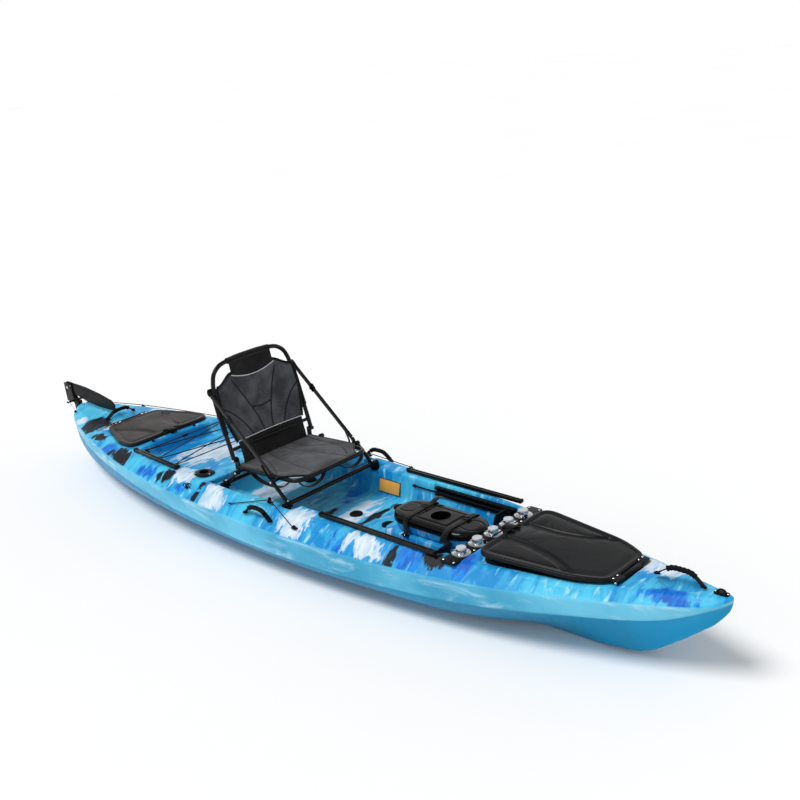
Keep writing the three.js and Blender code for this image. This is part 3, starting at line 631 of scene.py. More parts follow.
def paint_hull(obj):
    """Stores where the camouflage patches lie, and the heights above the two creases."""
    mesh = obj.data
    points = np.zeros(len(mesh.vertices) * 3, np.float32)
    mesh.vertices.foreach_get("co", points)
    x, y, z = points.reshape(-1, 3).T / MM
    colours = np.zeros((len(x), 4), np.float32)
    for kind, cx, cy, rx, ry in PATCHES:
        channel = ("white", "dark", "royal").index(kind)
        level = 1 - 0.5 * np.hypot((x - cx) / rx, (y - cy) / ry)
        colours[:, channel] = np.maximum(colours[:, channel], np.clip(level, 0, 1))
    paint = mesh.attributes.new("paint", "FLOAT_COLOR", "POINT")
    paint.data.foreach_set("color", colours.ravel())
    for name, stations in (("above_sheer", SHEER), ("above_chine", CHINE)):
        height = (z - curve_value(stations, x)) * MM
        in_well = (np.abs(x) < WELLS_END) & (z > 150) & (np.abs(y) < curve_value(BEAM, x) - 40)
        height = np.where(in_well, PAINTED, height).astype(np.float32)
        mesh.attributes.new(name, "FLOAT", "POINT").data.foreach_set("value", height)


def make_hull():
    """One half of the field, mirrored across the middle."""
    beam, margin = MAX_HALF_BEAM + 3 * HULL_STEP, 18
    half = Space((-HALF_LENGTH - margin, 0, -margin),
                 (HALF_LENGTH + margin, beam, DECK + BOW_RISE + margin), HULL_STEP)
    field = hull_field(half)
    field = np.concatenate([field[:, :0:-1], field], axis=1)
    port_edge = (field.shape[1] // 2) * HULL_STEP
    whole = Space((half.low[0], -port_edge, half.low[2]), half.low, HULL_STEP)
    obj = moulded("hull_shell", whole, field, HULL_FACES)
    paint_hull(obj)
    return fit(obj, "hull", "root", ["hull"])


make_hull()


# ---- pieces made from points and faces ----
BODY_OF = {node: body for body, nodes in frame["record"]["behaviour"]["bodies"].items() for node in nodes}
SHARP_ANGLE = 35


def smooth_shaded(obj, angle=SHARP_ANGLE):
    all_smooth(obj).data.set_sharp_from_angle(angle=math.radians(angle))
    return obj


def soft_edges(obj, width):
    """Rounds off the sharp edges of a piece by `width` and shades the rest smooth."""
    bevel = obj.modifiers.new("edges", "BEVEL")
    bevel.width, bevel.segments = width * MM, 2
    bevel.limit_method, bevel.angle_limit = "ANGLE", math.radians(SHARP_ANGLE)
    return smooth_shaded(apply_modifiers(obj))


def with_bmesh(obj, work):
    """Opens a piece's mesh as a bmesh, runs `work` on it and writes it back."""
    bm = bmesh.new()
    bm.from_mesh(obj.data)
    work(bm)
    bm.to_mesh(obj.data)
    bm.free()
    return obj


def whole_faces(bm):
    bmesh.ops.remove_doubles(bm, verts=bm.verts, dist=1e-5)
    bmesh.ops.dissolve_limit(bm, angle_limit=math.radians(2), verts=bm.verts, edges=bm.edges)


def face_outwards(bm):
    bmesh.ops.recalc_face_normals(bm, faces=bm.faces)


def refined(node, look, width=0.8):
    """A finer copy of a frame node: whole flat faces, rounded edges and the real finish."""
    obj = bpy.data.objects.new(node + "_fine", frame["nodes"][node].data.copy())
    obj.data.materials.clear()
    bpy.context.scene.collection.objects.link(obj)
    return fit(soft_edges(with_bmesh(obj, whole_faces), width), look, BODY_OF[node], [node])


def merged(name, parts):
    """Several pieces as one object, in the same order."""
    bm = bmesh.new()
    for part in parts:
        bm.from_mesh(part.data)
        mesh = part.data
        bpy.data.objects.remove(part)
        bpy.data.meshes.remove(mesh)
    obj = mesh_object(name, [], [])
    bm.to_mesh(obj.data)
    bm.free()
    return obj


def placed(spot, turn):
    """The matrix that turns a piece by an Euler or a quaternion and then takes it to a spot."""
    return Matrix.Translation(Vector(spot) * MM) @ turn.to_matrix().to_4x4()


def moved(obj, place=(0, 0, 0), turn=(0, 0, 0), matrix=None):
    obj.data.transform(matrix or placed(place, Euler([math.radians(a) for a in turn])))
    return obj


def assembled(name, parts, look, body="root", replaces=(), at=None):
    """Several parts as one finished piece, which `at` puts in its place."""
    obj = merged(name, parts)
    return fit(moved(obj, matrix=at) if at else obj, look, body, replaces)


def slab(name, low, high, width=1.0):
    """A box with rounded edges."""
    (x0, y0, z0), (x1, y1, z1) = np.minimum(low, high), np.maximum(low, high)
    ring = [(x0, y0), (x1, y0), (x1, y1), (x0, y1)]
    return plate(name, ring, z0, z1, width)


def plate(name, outline, z0, z1, width=1.0):
    """A flat piece with that outline, from z0 up to z1, with rounded edges."""
    n = len(outline)
    area = sum(a[0] * b[1] - b[0] * a[1] for a, b in zip(outline, list(outline[1:]) + [outline[0]]))
    ring = list(outline) if area > 0 else list(outline)[::-1]
    points = [(x, y, z) for z in (z0, z1) for x, y in ring]
    sides = [(i, (i + 1) % n, n + (i + 1) % n, n + i) for i in range(n)]
    return soft_edges(mesh_object(name, points, [range(n - 1, -1, -1), range(n, 2 * n), *sides]), width)


def turned(name, profile, place=(0, 0, 0), steps=32):
    """A piece turned about the Z axis through `place`, from (radius, z) pairs listed downwards."""
    points, rings = [], []
    for radius, z in profile:
        count = 1 if radius < 0.01 else steps
        rings.append(list(range(len(points), len(points) + count)))
        for k in range(count):
            a = 2 * math.pi * k / steps
            x, y = radius * math.cos(a), radius * math.sin(a)
            points.append((place[0] + x, place[1] + y, place[2] + z))
    faces = []
    pairs = list(zip(rings, rings[1:]))
    if len(rings[0]) > 1:
        pairs.append((rings[-1], rings[0]))
    for a, b in pairs:
        for k in range(steps):
            face = [a[k % len(a)], b[k % len(b)], b[(k + 1) % len(b)], a[(k + 1) % len(a)]]
            faces.append(list(dict.fromkeys(face)))
    return smooth_shaded(mesh_object(name, points, faces))


def sweep(name, points, section, across=None):
    """A section of (sideways, up) pairs carried along the points; `across` is its sideways way."""
    p = np.array(points, float)
    ahead = np.gradient(p, axis=0)
    ahead /= np.linalg.norm(ahead, axis=1)[:, None]
    side = np.array(across if across is not None else np.cross(ahead[0], (0.02, 0.05, 1)), float)
    ring_points, n = [], 0
    for i, point in enumerate(p):
        side = side - ahead[i] * side.dot(ahead[i])
        side /= np.linalg.norm(side)
        up = np.cross(side, ahead[i])
        shape = section(i / (len(p) - 1)) if callable(section) else section
        ring_points += [point + side * u + up * v for u, v in shape]
        n = len(shape)
    faces = [(i * n + k, i * n + (k + 1) % n, (i + 1) * n + (k + 1) % n, (i + 1) * n + k)
             for i in range(len(p) - 1) for k in range(n)]
    faces += [tuple(range(n - 1, -1, -1)), tuple(range((len(p) - 1) * n, len(p) * n))]
    return smooth_shaded(with_bmesh(mesh_object(name, ring_points, faces), face_outwards), 50)


def circle(radius, sides):
    return [(radius * math.cos(2 * math.pi * k / sides), radius * math.sin(2 * math.pi * k / sides))
            for k in range(sides)]


def tube(name, points, radius, sides):
    return sweep(name, points, circle(radius, sides))


def strap(name, points, width, across=(0, 1, 0), thickness=1.6):
    """A woven strap along the points, with softly rounded edges."""
    w, t = width / 2, thickness / 2
    return sweep(name, points, [(w, -t * 0.4), (w, t * 0.4), (w - 0.8, t), (-w + 0.8, t), (-w, t * 0.4),
                                (-w, -t * 0.4), (-w + 0.8, -t), (w - 0.8, -t)], across)


def both_ways(points):
    """The points and, on from the last one, their mirror images across y = 0."""
    return list(points) + [(x, -y, z) for x, y, z in points[-2::-1]]


def facing(spot, ahead):
    """Where a piece made about the Z axis sits when that axis points `ahead` from `spot`."""
    return placed(spot, Vector(ahead).to_track_quat("Z", "Y"))


SCREW = [(0, 0.25), (0.32, 0.25), (0.36, 0.5), (0.7, 0.48), (0.95, 0.25), (1, 0), (1, -0.1),
         (0, -0.1)]


def screw(spot, ahead=(0, 0, 1), radius=4.5):
    """A pan-headed screw with a round socket."""
    head = turned("screw", [(u * radius, v * radius) for u, v in SCREW], steps=16)
    return moved(head, matrix=facing(spot, ahead))


def pad_eye(spot, span=26):
    """A moulded loop on an oval foot, which a cord runs through."""
    end = span / 2 + 7
    foot = plate("eye", rounded([(-9, -end, 8), (9, -end, 8), (9, end, 8), (-9, end, 8)]), 0, 3.5, 0.8)
    arch = [(0, -span / 2, 2), (0, -span * 0.36, 9), (0, 0, 13), (0, span * 0.36, 9),
            (0, span / 2, 2)]
    parts = [foot, tube("eye", spline(arch, 14), 3, 10)]
    parts += [screw((0, s * (span / 2 + 2), 3.4), radius=3) for s in (-1, 1)]
    return moved(merged("eye", parts), spot, (0, 0, 90))


# ---- cords, each on the route that the frame gives it ----
BUNGEE = [
    (-1005, -235, 297), (-1005, 235, 297), (-990, 235, 297), (-864, -258, 297), (-850, -258, 297),
    (-717, 263, 297), (-702, 263, 297), (-702, -263, 303), (-717, -263, 303), (-850, 258, 303),
    (-864, 258, 303), (-990, -235, 303),
]
LIFT_LINE = [
    (-1935, 10, 307), (-1790, 100, 301), (-1648, 190, 285), (-1480, 228, 285), (-1312, 268, 282),
    (-1145, 305, 277), (-977, 340, 269), (-800, 362, 263), (-650, 378, 257), (-500, 390, 249),
    (-328, 398, 242), (-238, 402, 238),
]

def rounded_route(corners, reach):
    """Straight runs with a point every 12 times the reach or less, and rounded corners."""
    """Straight runs with rounded corners, with a point every `along` times the reach or less."""
    p = np.array(corners, float)
    route = [p[0]]
    for i in range(1, len(p)):
        last = i == len(p) - 1
        end = p[i] if last else p[i] + (p[i - 1] - p[i]) / np.linalg.norm(p[i - 1] - p[i]) * reach
        steps = max(int(np.linalg.norm(end - route[-1]) / (12 * reach)), 1)
        route += [route[-1] + (end - route[-1]) * k / steps for k in range(1, steps + 1)]
        if not last:
            leave = p[i] + (p[i + 1] - p[i]) / np.linalg.norm(p[i + 1] - p[i]) * reach
            route += [(1 - t) ** 2 * end + 2 * t * (1 - t) * p[i] + t * t * leave
                      for t in np.linspace(0, 1, 9)[1:]]
    return route


def make_cords():
    knots = [turned("knot", [(0, 5), (4, 4), (5.5, 0), (4, -4), (0, -5)], end)
             for end in (BUNGEE[0], BUNGEE[-1])]
    assembled("tankwell_bungee_cord", [tube("bungee", rounded_route(BUNGEE, 6), 2.5, 12), *knots],
              "cord", "root", ["tankwell_bungee"])
    line = tube("rudder_lift_cord", spline(LIFT_LINE, 150), 2, 10)
    fit(line, "cord", "root", ["rudder_lift_line"])
    for side, s in SIDES:
        corners = [(-206, s * 373, 260), (4, s * 308, 306), (215, s * 373, 256)]
        fit(tube(f"paddle_cord_{side}", rounded_route(corners, 12), 2, 10), "cord", "root",
            [f"paddle_bungee_{side}"])


def make_cord_fittings():
    eyes = [pad_eye((x, s * y, DECK + 0.2))
            for s in (-1, 1) for x, y in ((-997, 240), (-857, 266), (-709, 271))]
    eyes += [pad_eye((x, y, z - 12), 20) for x, y, z in (LIFT_LINE[2], LIFT_LINE[6])]
    for s in (-1, 1):
        eyes.append(pad_eye((4, s * 308, 293), 20))
        eyes += [pad_eye((x, s * 366, z), 18) for x, z in ((-206, 248), (215, 250))]
    assembled("cord_eyes", eyes, "plastic")
    toggles = [turned("ball", [(0, 9), (6, 7), (9, 0), (6, -7), (0, -9)], (-238, 402, 238), 20)]
    toggles += [turned("ball", [(0, 8), (5.5, 6), (8, 0), (5.5, -6), (0, -8)], (4, s * 309, 311), 20)
                for s in (-1, 1)]
    toggles.append(tube("grip", [(-1005, -12, 297), (-1005, 14, 297)], 7, 14))
    assembled("cord_toggles", toggles, "plastic")
    fit(tube("lift_line_sleeve", [(-328, 398, 242), (-286, 400, 240)], 4.5, 12), "rubber")
    hooks = []
    for s in (-1, 1):
        for dx, dy in ((-24, 6), (-10, -12), (12, -12), (24, 6)):
            loop = [(-516 + dx, s * (360 + dy), 262), (-516 + dx * 0.8, s * (362 + dy), 276),
                    (-516 + dx * 0.4, s * 366, 279), (-516, s * 370, 266)]
            hooks.append(tube("hook", spline(loop, 10), 2, 8))
        hooks.append(turned("hub", [(0, 8), (7, 6), (8, 0), (0, 0)], (-516, s * 368, 260)))
    assembled("side_hook_loops", hooks, "rubber")


make_cords()
make_cord_fittings()


# ---- hatches ----
RIBS = {  # half width at the free end, how far it spreads, over what length, how sharply; then the end
    "front_hatch": (((47, 103, 370, 2.6), (89, 74, 320, 3)), 510),
    "rear_hatch": (((57, 86, 233, 2.5), (91, 69, 178, 1.8)), 325),
}
LID_TOP, CHANNEL_DEPTH, PIN_HEIGHT = 22, 6.2, 12


def hatch_frame(hatch):
    turn = Euler((0, hatch["way"] * hatch["tilt"], math.pi if hatch["way"] < 0 else 0), "XYZ")
    return placed((hatch["hinge"], 0, hatch["seat"]), turn)


def lid_field(space, hatch):
    """A hollow lid with raised ribs between channels, and two tabs bored for the hinge's pin."""
    x, y = space.x[:, :, 0], space.y[:, :, 0]
    inside = polygon_distance(x, y, hatch_outline(hatch, 0))
    edges, end = RIBS[hatch["name"]]
    inner, outer = (w + spread * (np.maximum(end - x, 0) / span) ** power
                    for w, spread, span, power in edges)
    middle = (inner + outer) / 2
    channel = np.abs(np.abs(y) - middle) - (outer - inner) / 2 + 4
    channel = np.maximum(np.maximum(channel, x - end), inside + 24)
    top = LID_TOP - 1.8 * smooth(-13, -20, inside) + 1.4 * smooth(-22, -60, inside)
    top = top - CHANNEL_DEPTH * smooth(5, -3, channel)
    top -= 1.6 * smooth(5, 0, np.abs(inside + 30)) * (np.abs(y) > outer)
    shell = blended_max(blended_max(inside[:, :, None], space.z - top[:, :, None], 5), 5 - space.z, 2)
    under = np.maximum(np.maximum((inside + 6)[:, :, None], space.z - top[:, :, None] + 4.5), -space.z)
    field = np.maximum(shell, -under)
    for s in (-1, 1):
        tab = np.maximum(np.maximum(np.abs(space.x - 16) - 25, np.abs(space.y - s * 83) - 23),
                         np.abs(space.z - 12.5) - 7.5)
        field = -blended_max(-field, -tab, 2)
    return np.maximum(field, 4.3 - np.hypot(space.x, space.z - PIN_HEIGHT))


def latch_parts(end):
    """The catch's arm, cross bar, hook and finger ribs, past the lid's end."""
    arm = [((-17, -19, 24), (29, 19, 31), 2.5), ((-18, -40, 23.6), (-6, 40, 30), 2.5),
           ((22, -19, 12), (29.5, 19, 31), 2.5)]
    arm += [((-2 + 7 * k, -12, 30), (1 + 7 * k, 12, 31.4), 0.6) for k in range(4)]
    return [slab("latch", (end + x0, y0, z0), (end + x1, y1, z1), width)
            for (x0, y0, z0), (x1, y1, z1), width in arm]


def hatch_loops(end):
    """The rubber cords that hold the lid's free end, each with a knob."""
    loops = []
    for s in (-1, 1):
        way = [(end + 6, s * 30, 29), (end + 17, s * 80, 22), (end + 22, s * 124, 16),
               (end + 26, s * 129, 12), (end + 18, s * 132, 14), (end + 10, s * 80, 24),
               (end + 2, s * 34, 31)]
        loops.append(tube("loop", spline(way, 40), 1.5, 8))
        knob = [(0, 9), (7, 8), (8, 4), (4, 1), (8, -4), (0, -4)]
        loops.append(turned("knob", knob, (end + 24, s * 130, 10), 20))
    return loops


def make_hatch(hatch):
    name, place = hatch["name"], hatch_frame(hatch)
    end, half, _ = hatch["outline"][2]
    space = Space((-18, -half - 8, -1), (end + 8, half + 8, 30), 2.6)
    lid = moved(moulded(name + "_cover", space, lid_field(space, hatch), 34000), matrix=place)
    fit(lid, hatch["look"], name, [name + "_lid"])
    ears = [slab("ear", (end - 30, y - 5.5, 23.5), (end - 20, y + 5.5, 29), 2) for y in (-18.5, 18.5)]
    assembled(name + "_latch_ears", ears, "plastic", name, at=place)
    assembled(name + "_catch", latch_parts(end), "plastic", name.replace("hatch", "latch"),
              [name + "_latch"], place)
    bolts = [screw((16, s * y, 20)) for s in (-1, 1) for y in (70, 96)]
    pins = [tube("bolt", [(-1, s * 106, PIN_HEIGHT), (-1, s * 111, PIN_HEIGHT)], 4.6, 12)
            for s in (-1, 1)]
    assembled(name + "_bolts", bolts + pins, "steel", name, at=place)
    assembled(name + "_bungee", hatch_loops(end), "rubber", at=place)
    refined(name + "_hinge", "plastic")
    refined(name + "_gasket", "rubber", 0.5)
    refined(name + "_pin", "steel", 0.3)


for item in HATCHES:
    make_hatch(item)


# ---- rails, board and mounts ----
FRONT_RAIL_Y = 273
REAR_RAIL, REAR_RAIL_TURN = ((-1057, 264), (-688, 292)), 4.34


def make_rails():
    """The four slotted rails, with a cap on each end and four screws in each."""
    for end in ("front", "rear"):
        for side, s in SIDES:
            node = f"{end}_rail_{side}"
            refined(node, "anodised", 0.7)
            low, high = (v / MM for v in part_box(node))
            if end == "front":
                spots = [(x, s * FRONT_RAIL_Y, 0) for x in (low.x, high.x)]
            else:
                spots = [(x, s * y, s * REAR_RAIL_TURN) for x, y in REAR_RAIL]
            caps = [moved(slab("cap", (-6, -11.5, -0.2), (6, 11.5, 16), 2.5), (x, y, DECK + 0.4),
                          (0, 0, turn)) for x, y, turn in spots]
            assembled(node + "_caps", caps, "plastic")
            (xa, ya, _), (xb, yb, _) = spots
            bolts = [screw((xa + (xb - xa) * t, ya + (yb - ya) * t, DECK + 4.6), radius=4)
                     for t in (0.08, 0.36, 0.64, 0.92)]
            assembled(node + "_screws", bolts, "steel")


MOUNT_RING = [(21, 18), (21, 6), (24, 5.2), (34, 4.4), (37, 3.2), (37.5, 1), (37.2, 0), (0, 0),
              (0, 3), (16, 3), (16, 17.2), (16.8, 18)]
MOUNT_PLUG = [(0, 26), (6, 26.2), (12, 26.2), (14, 27.6), (17, 27.8), (19.4, 26.6), (20, 24.6),
              (20, 20), (19.2, 18.6), (14.6, 18.4), (14.6, 9), (13.6, 8), (0, 8)]


def make_mount(number, y, z):
    """A round mount on the board: a screwed ring, its plug and the plug's tether."""
    ring = turned(f"mount_ring_{number}", MOUNT_RING, (BOARD_X, y, z), 48)
    holes = [screw((BOARD_X + 29 * math.cos(a), y + 29 * math.sin(a), z + 4.6), radius=3)
             for a in (math.radians(90 * k + 45) for k in range(4))]
    assembled(f"mount_flange_{number}", [ring] + holes, "steel", "root", [f"board_mount_{number}"])
    cap = f"mount_cap_{number}"
    plug = turned(f"mount_plug_{number}", MOUNT_PLUG, (BOARD_X, y, z), 40)
    fit(plug, "silver", BODY_OF[cap], [cap])
    route = spline([(BOARD_X, y - 19, z + 20), (968, y - 27, z + 21), (956, y - 33, z + 17),
                    (950, y - 36, z + 9), (948, y - 33, z + 3.6)], 24)
    fit(tube(f"mount_tether_{number}", route, 1.6, 8), "rubber", BODY_OF[cap])


def make_board():
    refined("accessory_board", "plastic", 1.2)
    corners = [screw((x, y, BOARD_TOP), radius=5) for x in (949, 999) for y in (-272, -150, 150, 272)]
    assembled("board_screws", corners, "steel")
    for i in range(5):
        make_mount(i + 1, (i - 2) * MOUNT_PITCH, BOARD_TOP + 0.4)


# ---- rod holders, handles ----
EGG = [(-52, -30, 30), (-52, 30, 30), (0, 51, 40), (50, 36, 34), (50, -36, 34), (0, -51, 40)]


def make_rod_holders():
    for side, s in SIDES:
        space = Space((-58, -58, -8), (58, 58, 14), 1.8)
        across = np.hypot(space.x, space.y)
        outside = polygon_distance(space.x[:, :, 0], space.y[:, :, 0], rounded(EGG, 8))
        lip = 1.6 * smooth(8, 0, np.abs(across[:, :, 0] - 27))
        top = 2.2 + 3.2 * smooth(0, -16, outside) + lip
        field = np.maximum(outside[:, :, None], -0.2 - space.z)
        field = blended_max(field, space.z - top[:, :, None], 2.5)
        flange = moulded("flange", space, blended_max(field, 21.5 - across, 2), 16000)
        pipe = [(24, 0), (24, -205), (0, -205), (0, -200), (21.5, -200), (21.5, 0)]
        holder = merged(f"rod_holder_{side}_body", [flange, turned("pipe", pipe, steps=40)])
        moved(holder, (ROD_X, s * ROD_Y, DECK + 0.4))
        fit(smooth_shaded(holder), "plastic", "root", [f"rod_holder_{side}"])
        screws = [screw((ROD_X + x, s * ROD_Y + y, DECK + 5.2), radius=4)
                  for x, y in ((40, 0), (-24, 34), (-24, -34))]
        assembled(f"rod_holder_{side}_screws", screws, "steel")


def grip_section(t):
    """The grip's outline at `t` of its length: seven soft finger rings."""
    swell = 1 + 0.12 * math.cos(14 * math.pi * t)
    return [(u * swell, v * swell) for u, v in circle(9.6, 18)]


def make_handle(node, span, rise, place, lean, turn):
    """An arched carrying handle: a padded grip on a strap between two screwed ends."""
    half = span / 2
    climb = [(-half, 0, 0), (-0.78 * half, 0, 0.42 * rise), (-0.42 * half, 0, 0.92 * rise)]
    fall = [(-x, y, z) for x, y, z in reversed(climb)]
    arch = spline([*climb, (0, 0, rise), *fall], 41)
    parts = [sweep("band", arch, [(11, -2.2), (11, 2.2), (-11, 2.2), (-11, -2.2)], (0, 1, 0)),
             sweep("grip", arch[9:32], grip_section, (0, 1, 0))]
    parts += [turned("end", [(0, 5), (8, 4.4), (11, 1), (11, -3), (0, -3)], (s * half, 0, 0), 24)
              for s in (-1, 1)]
    parts += [screw((s * half, 0, 4.8), radius=4) for s in (-1, 1)]
    at = placed(place, Euler((lean, 0, turn), "XYZ"))
    assembled(node + "_grip", parts, "rubber", BODY_OF[node], [node], at)


def make_handles():
    bow, stern, lean = HANDLE_X["bow"], HANDLE_X["stern"], math.radians(15)
    make_handle("bow_handle", 176, 36, (bow, 0, deck_height(bow) + 14), -lean, 0)
    make_handle("stern_handle", 164, 34, (stern, 0, deck_height(stern) + 10), lean, math.pi / 2)
    for side, s in SIDES:
        make_handle(f"side_handle_{side}", 161, 38, (HANDLE_X["side"], s * 380, DECK - 36), 0, 0)


make_rails()
make_board()
make_rod_holders()
make_handles()


# ---- rudder ----
PIVOT_X, PIVOT_Z = -2075, 378
BLADE = [(-2058, 350), (-1965, 332), (-1900, 319), (-1800, 311), (-1700, 310), (-1640, 312),
         (-1619, 326), (-1618, 350), (-1640, 371), (-1760, 393), (-1900, 408), (-2050, 411.5),
         (-2080, 411), (-2100, 400), (-2108, 380), (-2101, 358), (-2082, 345)]


def make_rudder_blade():
    space = Space((-2114, -8, 304), (-1610, 8, 418), 1.8)
    x, z = space.x[:, 0], space.z[0]
    inside = polygon_distance(x, z, BLADE)
    half = np.where(x < -2030, 3.9, 1.6 + 2.4 * smooth(0, -26, inside))
    rib = np.abs(z - curve_value([(-2110, 378), (-1900, 364), (-1610, 341)], x)) - 1.5
    half = np.minimum(half + 0.9 * smooth(3, 0, np.abs(rib)) * (x > -2000), 4.0)
    field = blended_max(inside[:, None, :], np.abs(space.y) - half[:, None, :], 2)
    field = np.maximum(field, 5.2 - np.hypot(space.x - PIVOT_X, space.z - PIVOT_Z))
    fit(moulded("rudder_fin", space, field, 26000), "plastic", "rudder_blade", ["rudder_blade"])


def make_rudder():
    refined("rudder_bracket", "plastic", 1.2)
    refined("rudder_pin", "steel", 0.4)
    refined("blade_pin", "steel", 0.4)
    refined("rudder_yoke", "plastic", 1.0)
    knobs = [screw((PIVOT_X, s * 9.4, PIVOT_Z), (0, s, 0), 9) for s in (-1, 1)]
    knobs += [screw((-2040, s * 9.4, z), (0, s, 0), 4) for s in (-1, 1) for z in (306, 392)]
    knobs += [screw((-1998, s * 63, 322), radius=4) for s in (-1, 1)]
    assembled("rudder_bolts", knobs, "steel", "rudder_yoke")
    make_rudder_blade()
    for side, s in SIDES:
        route = [(-1998, s * 63, 326), (-1960, s * 72, 318), (-1915, s * 86, 306),
                 (-1880, s * 97, 297)]
        cable = fit(tube(f"steering_cable_{side}", spline(route, 16), 1.3, 8), "steel", None)
        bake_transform(cable)
        gland = [(0, 9), (3, 9), (6, 4), (9, 1), (9, -2), (0, -2)]
        fit(turned(f"steering_gland_{side}", gland, (-1878, s * 98, 294), 20), "plastic")


# ---- foot braces ----
RAIL_Y, RAIL_Z, PEDAL_X, PEDAL_Z = 229, 252, 858, 196


def make_slider(name, s):
    """The block that a pedal hangs from, with the rod and knob that lock it."""
    def at(x):
        return x, s * RAIL_Y, RAIL_Z

    knob = sweep("knob", [at(345), at(352), at(360), at(366)],
                 lambda t: circle((5, 7, 7, 4.5)[round(3 * t)], 16), (0, 1, 0))
    block = [slab("block", (830, s * 222, 244), (886, s * 240, 260), 2),
             slab("block", (846, s * 222, 189), (870, s * 227, 250), 1),
             tube("rod", [at(352), at(600), at(835)], 3.5, 14), knob]
    assembled(name + "_body", block, "plastic", name, [name])


def make_pedal(name, s):
    """A ribbed tread on an axle."""
    space = Space((-8, -43, -6), (90, 43, 8), 1.6)
    x, y = space.x[:, :, 0], space.y[:, :, 0]
    outside = rectangle(x, y, -4, 86, 40, 12)
    half = 3.4 - 1.4 * smooth(0.2, -0.2, np.sin(x * 0.55)) * smooth(-4, -8, outside)
    field = blended_max(outside[:, :, None], np.abs(space.z) - half[:, :, None], 2)
    tread = moved(moulded("tread", space, field, 14000), (PEDAL_X, s * 178, PEDAL_Z), (0, -78, 0))
    axle = tube("axle", [(PEDAL_X, s * 139, PEDAL_Z), (PEDAL_X, s * RAIL_Y, PEDAL_Z)], 4.6, 16)
    assembled(name + "_face", [tread, axle], "plastic", name, [name])


def make_foot_braces():
    for side, s in SIDES:
        refined(f"foot_track_{side}", "plastic", 0.9)
        make_slider(f"foot_slider_{side}", s)
        make_pedal(f"foot_pedal_{side}", s)


make_rudder()
make_foot_braces()


# ---- pod ----
POD_MIDDLE, POD_HALF, POD_RADIUS = 702.5, 125.5, 98
POD_SPLIT, POD_TOP, CUP_X, CUP_RADIUS = 262, 290, 705, 44
STRAP_X = {"aft": 599, "fore": 816}


def stadium(x, y):
    return np.hypot(np.maximum(np.abs(x - POD_MIDDLE) - POD_HALF, 0), y) - POD_RADIUS


def make_pod_tub(space, outside):
    """The painted bowl in the deck and the black rim round it."""
    taper = np.interp(space.z, [215, 223, POD_SPLIT], [14, 8, 0])
    tub = blended_max(outside + taper + 2, np.abs(space.z - 238.7) - 23.3, 5)
    tub = np.maximum(tub, -np.maximum(outside + taper + 6, 220 - space.z))
    bowl = moulded("pod_bowl", space, tub, 16000)
    paint_hull(bowl)
    fit(bowl, "hull", "root", ["pod_tub"])
    rim = np.maximum(outside, np.abs(space.z - 258.6) - 3.4)
    fit(moulded("pod_rim", space, np.maximum(rim, -(outside + 8)), 8000), "gloss")


def pod_top(x, y, outside):
    """The cover's height: round shoulders, a raised panel, a channel per strap and two lobes."""
    top = np.interp(-outside, [-1, 2, 9, 26], [270, 280, 286, 288.4])
    panel_edge = np.maximum(np.abs(x - 707) - 76, np.abs(y) - 58)
    ditch = 2.2 * smooth(7, 0, np.abs(panel_edge - 4)) * (outside < -16)
    top += 1.6 * smooth(3, -2, panel_edge) - ditch
    for cx in STRAP_X.values():
        top -= 2 * smooth(18, 14, np.abs(x - cx)) * smooth(-8, -16, outside)
    for cx in (535, 868):
        lobe = np.hypot((x - cx) / 1.1, y) - 44
        top -= 2 * smooth(5, 0, np.abs(lobe)) * (np.abs(x - 702) > 118)
    return top


def make_pod_cover(space, outside):
    """The hollow cover with a cup holder let into it."""
    top = pod_top(space.x[:, :, 0], space.y[:, :, 0], outside[:, :, 0])[:, :, None]
    cover = np.maximum(outside - 1, POD_SPLIT + 0.4 - space.z)
    cover = blended_max(cover, space.z - top, 4)
    cover = np.maximum(cover, -np.maximum(outside + 5, space.z - top + 4))
    cup = np.hypot(space.x - CUP_X, space.y)
    ring = np.maximum(np.maximum(np.abs(cup - CUP_RADIUS) - 2.4, 237 - space.z), space.z - POD_TOP)
    floor = np.maximum(cup - CUP_RADIUS, np.abs(space.z - 238) - 1.8)
    opened = np.maximum(cover, CUP_RADIUS - 2 - cup)
    cover = -blended_max(-opened, -np.minimum(ring, floor), 2)
    fit(moulded("pod_hood", space, cover, 44000), "gloss", "root", ["pod_cover"])


STRAP_TAILS = {
    "aft": [(0, 30, 294), (2, 62, 295), (4, 96, 304), (5, 126, 300), (4, 146, 288)],
    "fore": [(0, -34, 294), (0, -70, 295), (6, -112, 286), (12, -142, 262)],
}


def make_pod_straps():
    for name, x in STRAP_X.items():
        over = [(x, y, z) for y, z in ((101.2, 217), (101.2, 262), (100.2, 276), (92.6, 289),
                                       (74, 292.6), (40, 292.8), (0, 292.9))]
        tail = [(x + dx, y, z) for dx, y, z in STRAP_TAILS[name]]
        bands = [strap("band", spline(both_ways(over), 70), 27, (1, 0, 0)),
                 strap("tail", spline(tail, 24), 26, (1, 0, 0))]
        assembled(f"pod_strap_{name}_band", bands, "webbing", "root", [f"pod_strap_{name}"])
        bars = [((-18, 16), (18, 24)), ((-18, 36), (18, 42)), ((-18, 16), (-14, 42)),
                ((14, 16), (18, 42))]
        buckle = [slab("buckle", (x + x0, y0, 292.6), (x + x1, y1, 297.4), 1.5)
                  for (x0, y0), (x1, y1) in bars]
        anchors = [slab("anchor", (x - 17, s * 101, 214.8), (x + 17, s * 116, 219), 1.5)
                   for s in (-1, 1)]
        assembled(f"pod_buckle_{name}", buckle + anchors, "plastic")
        screws = [screw((x, s * 110, 219), radius=3.6) for s in (-1, 1)]
        assembled(f"pod_anchor_screws_{name}", screws, "steel")



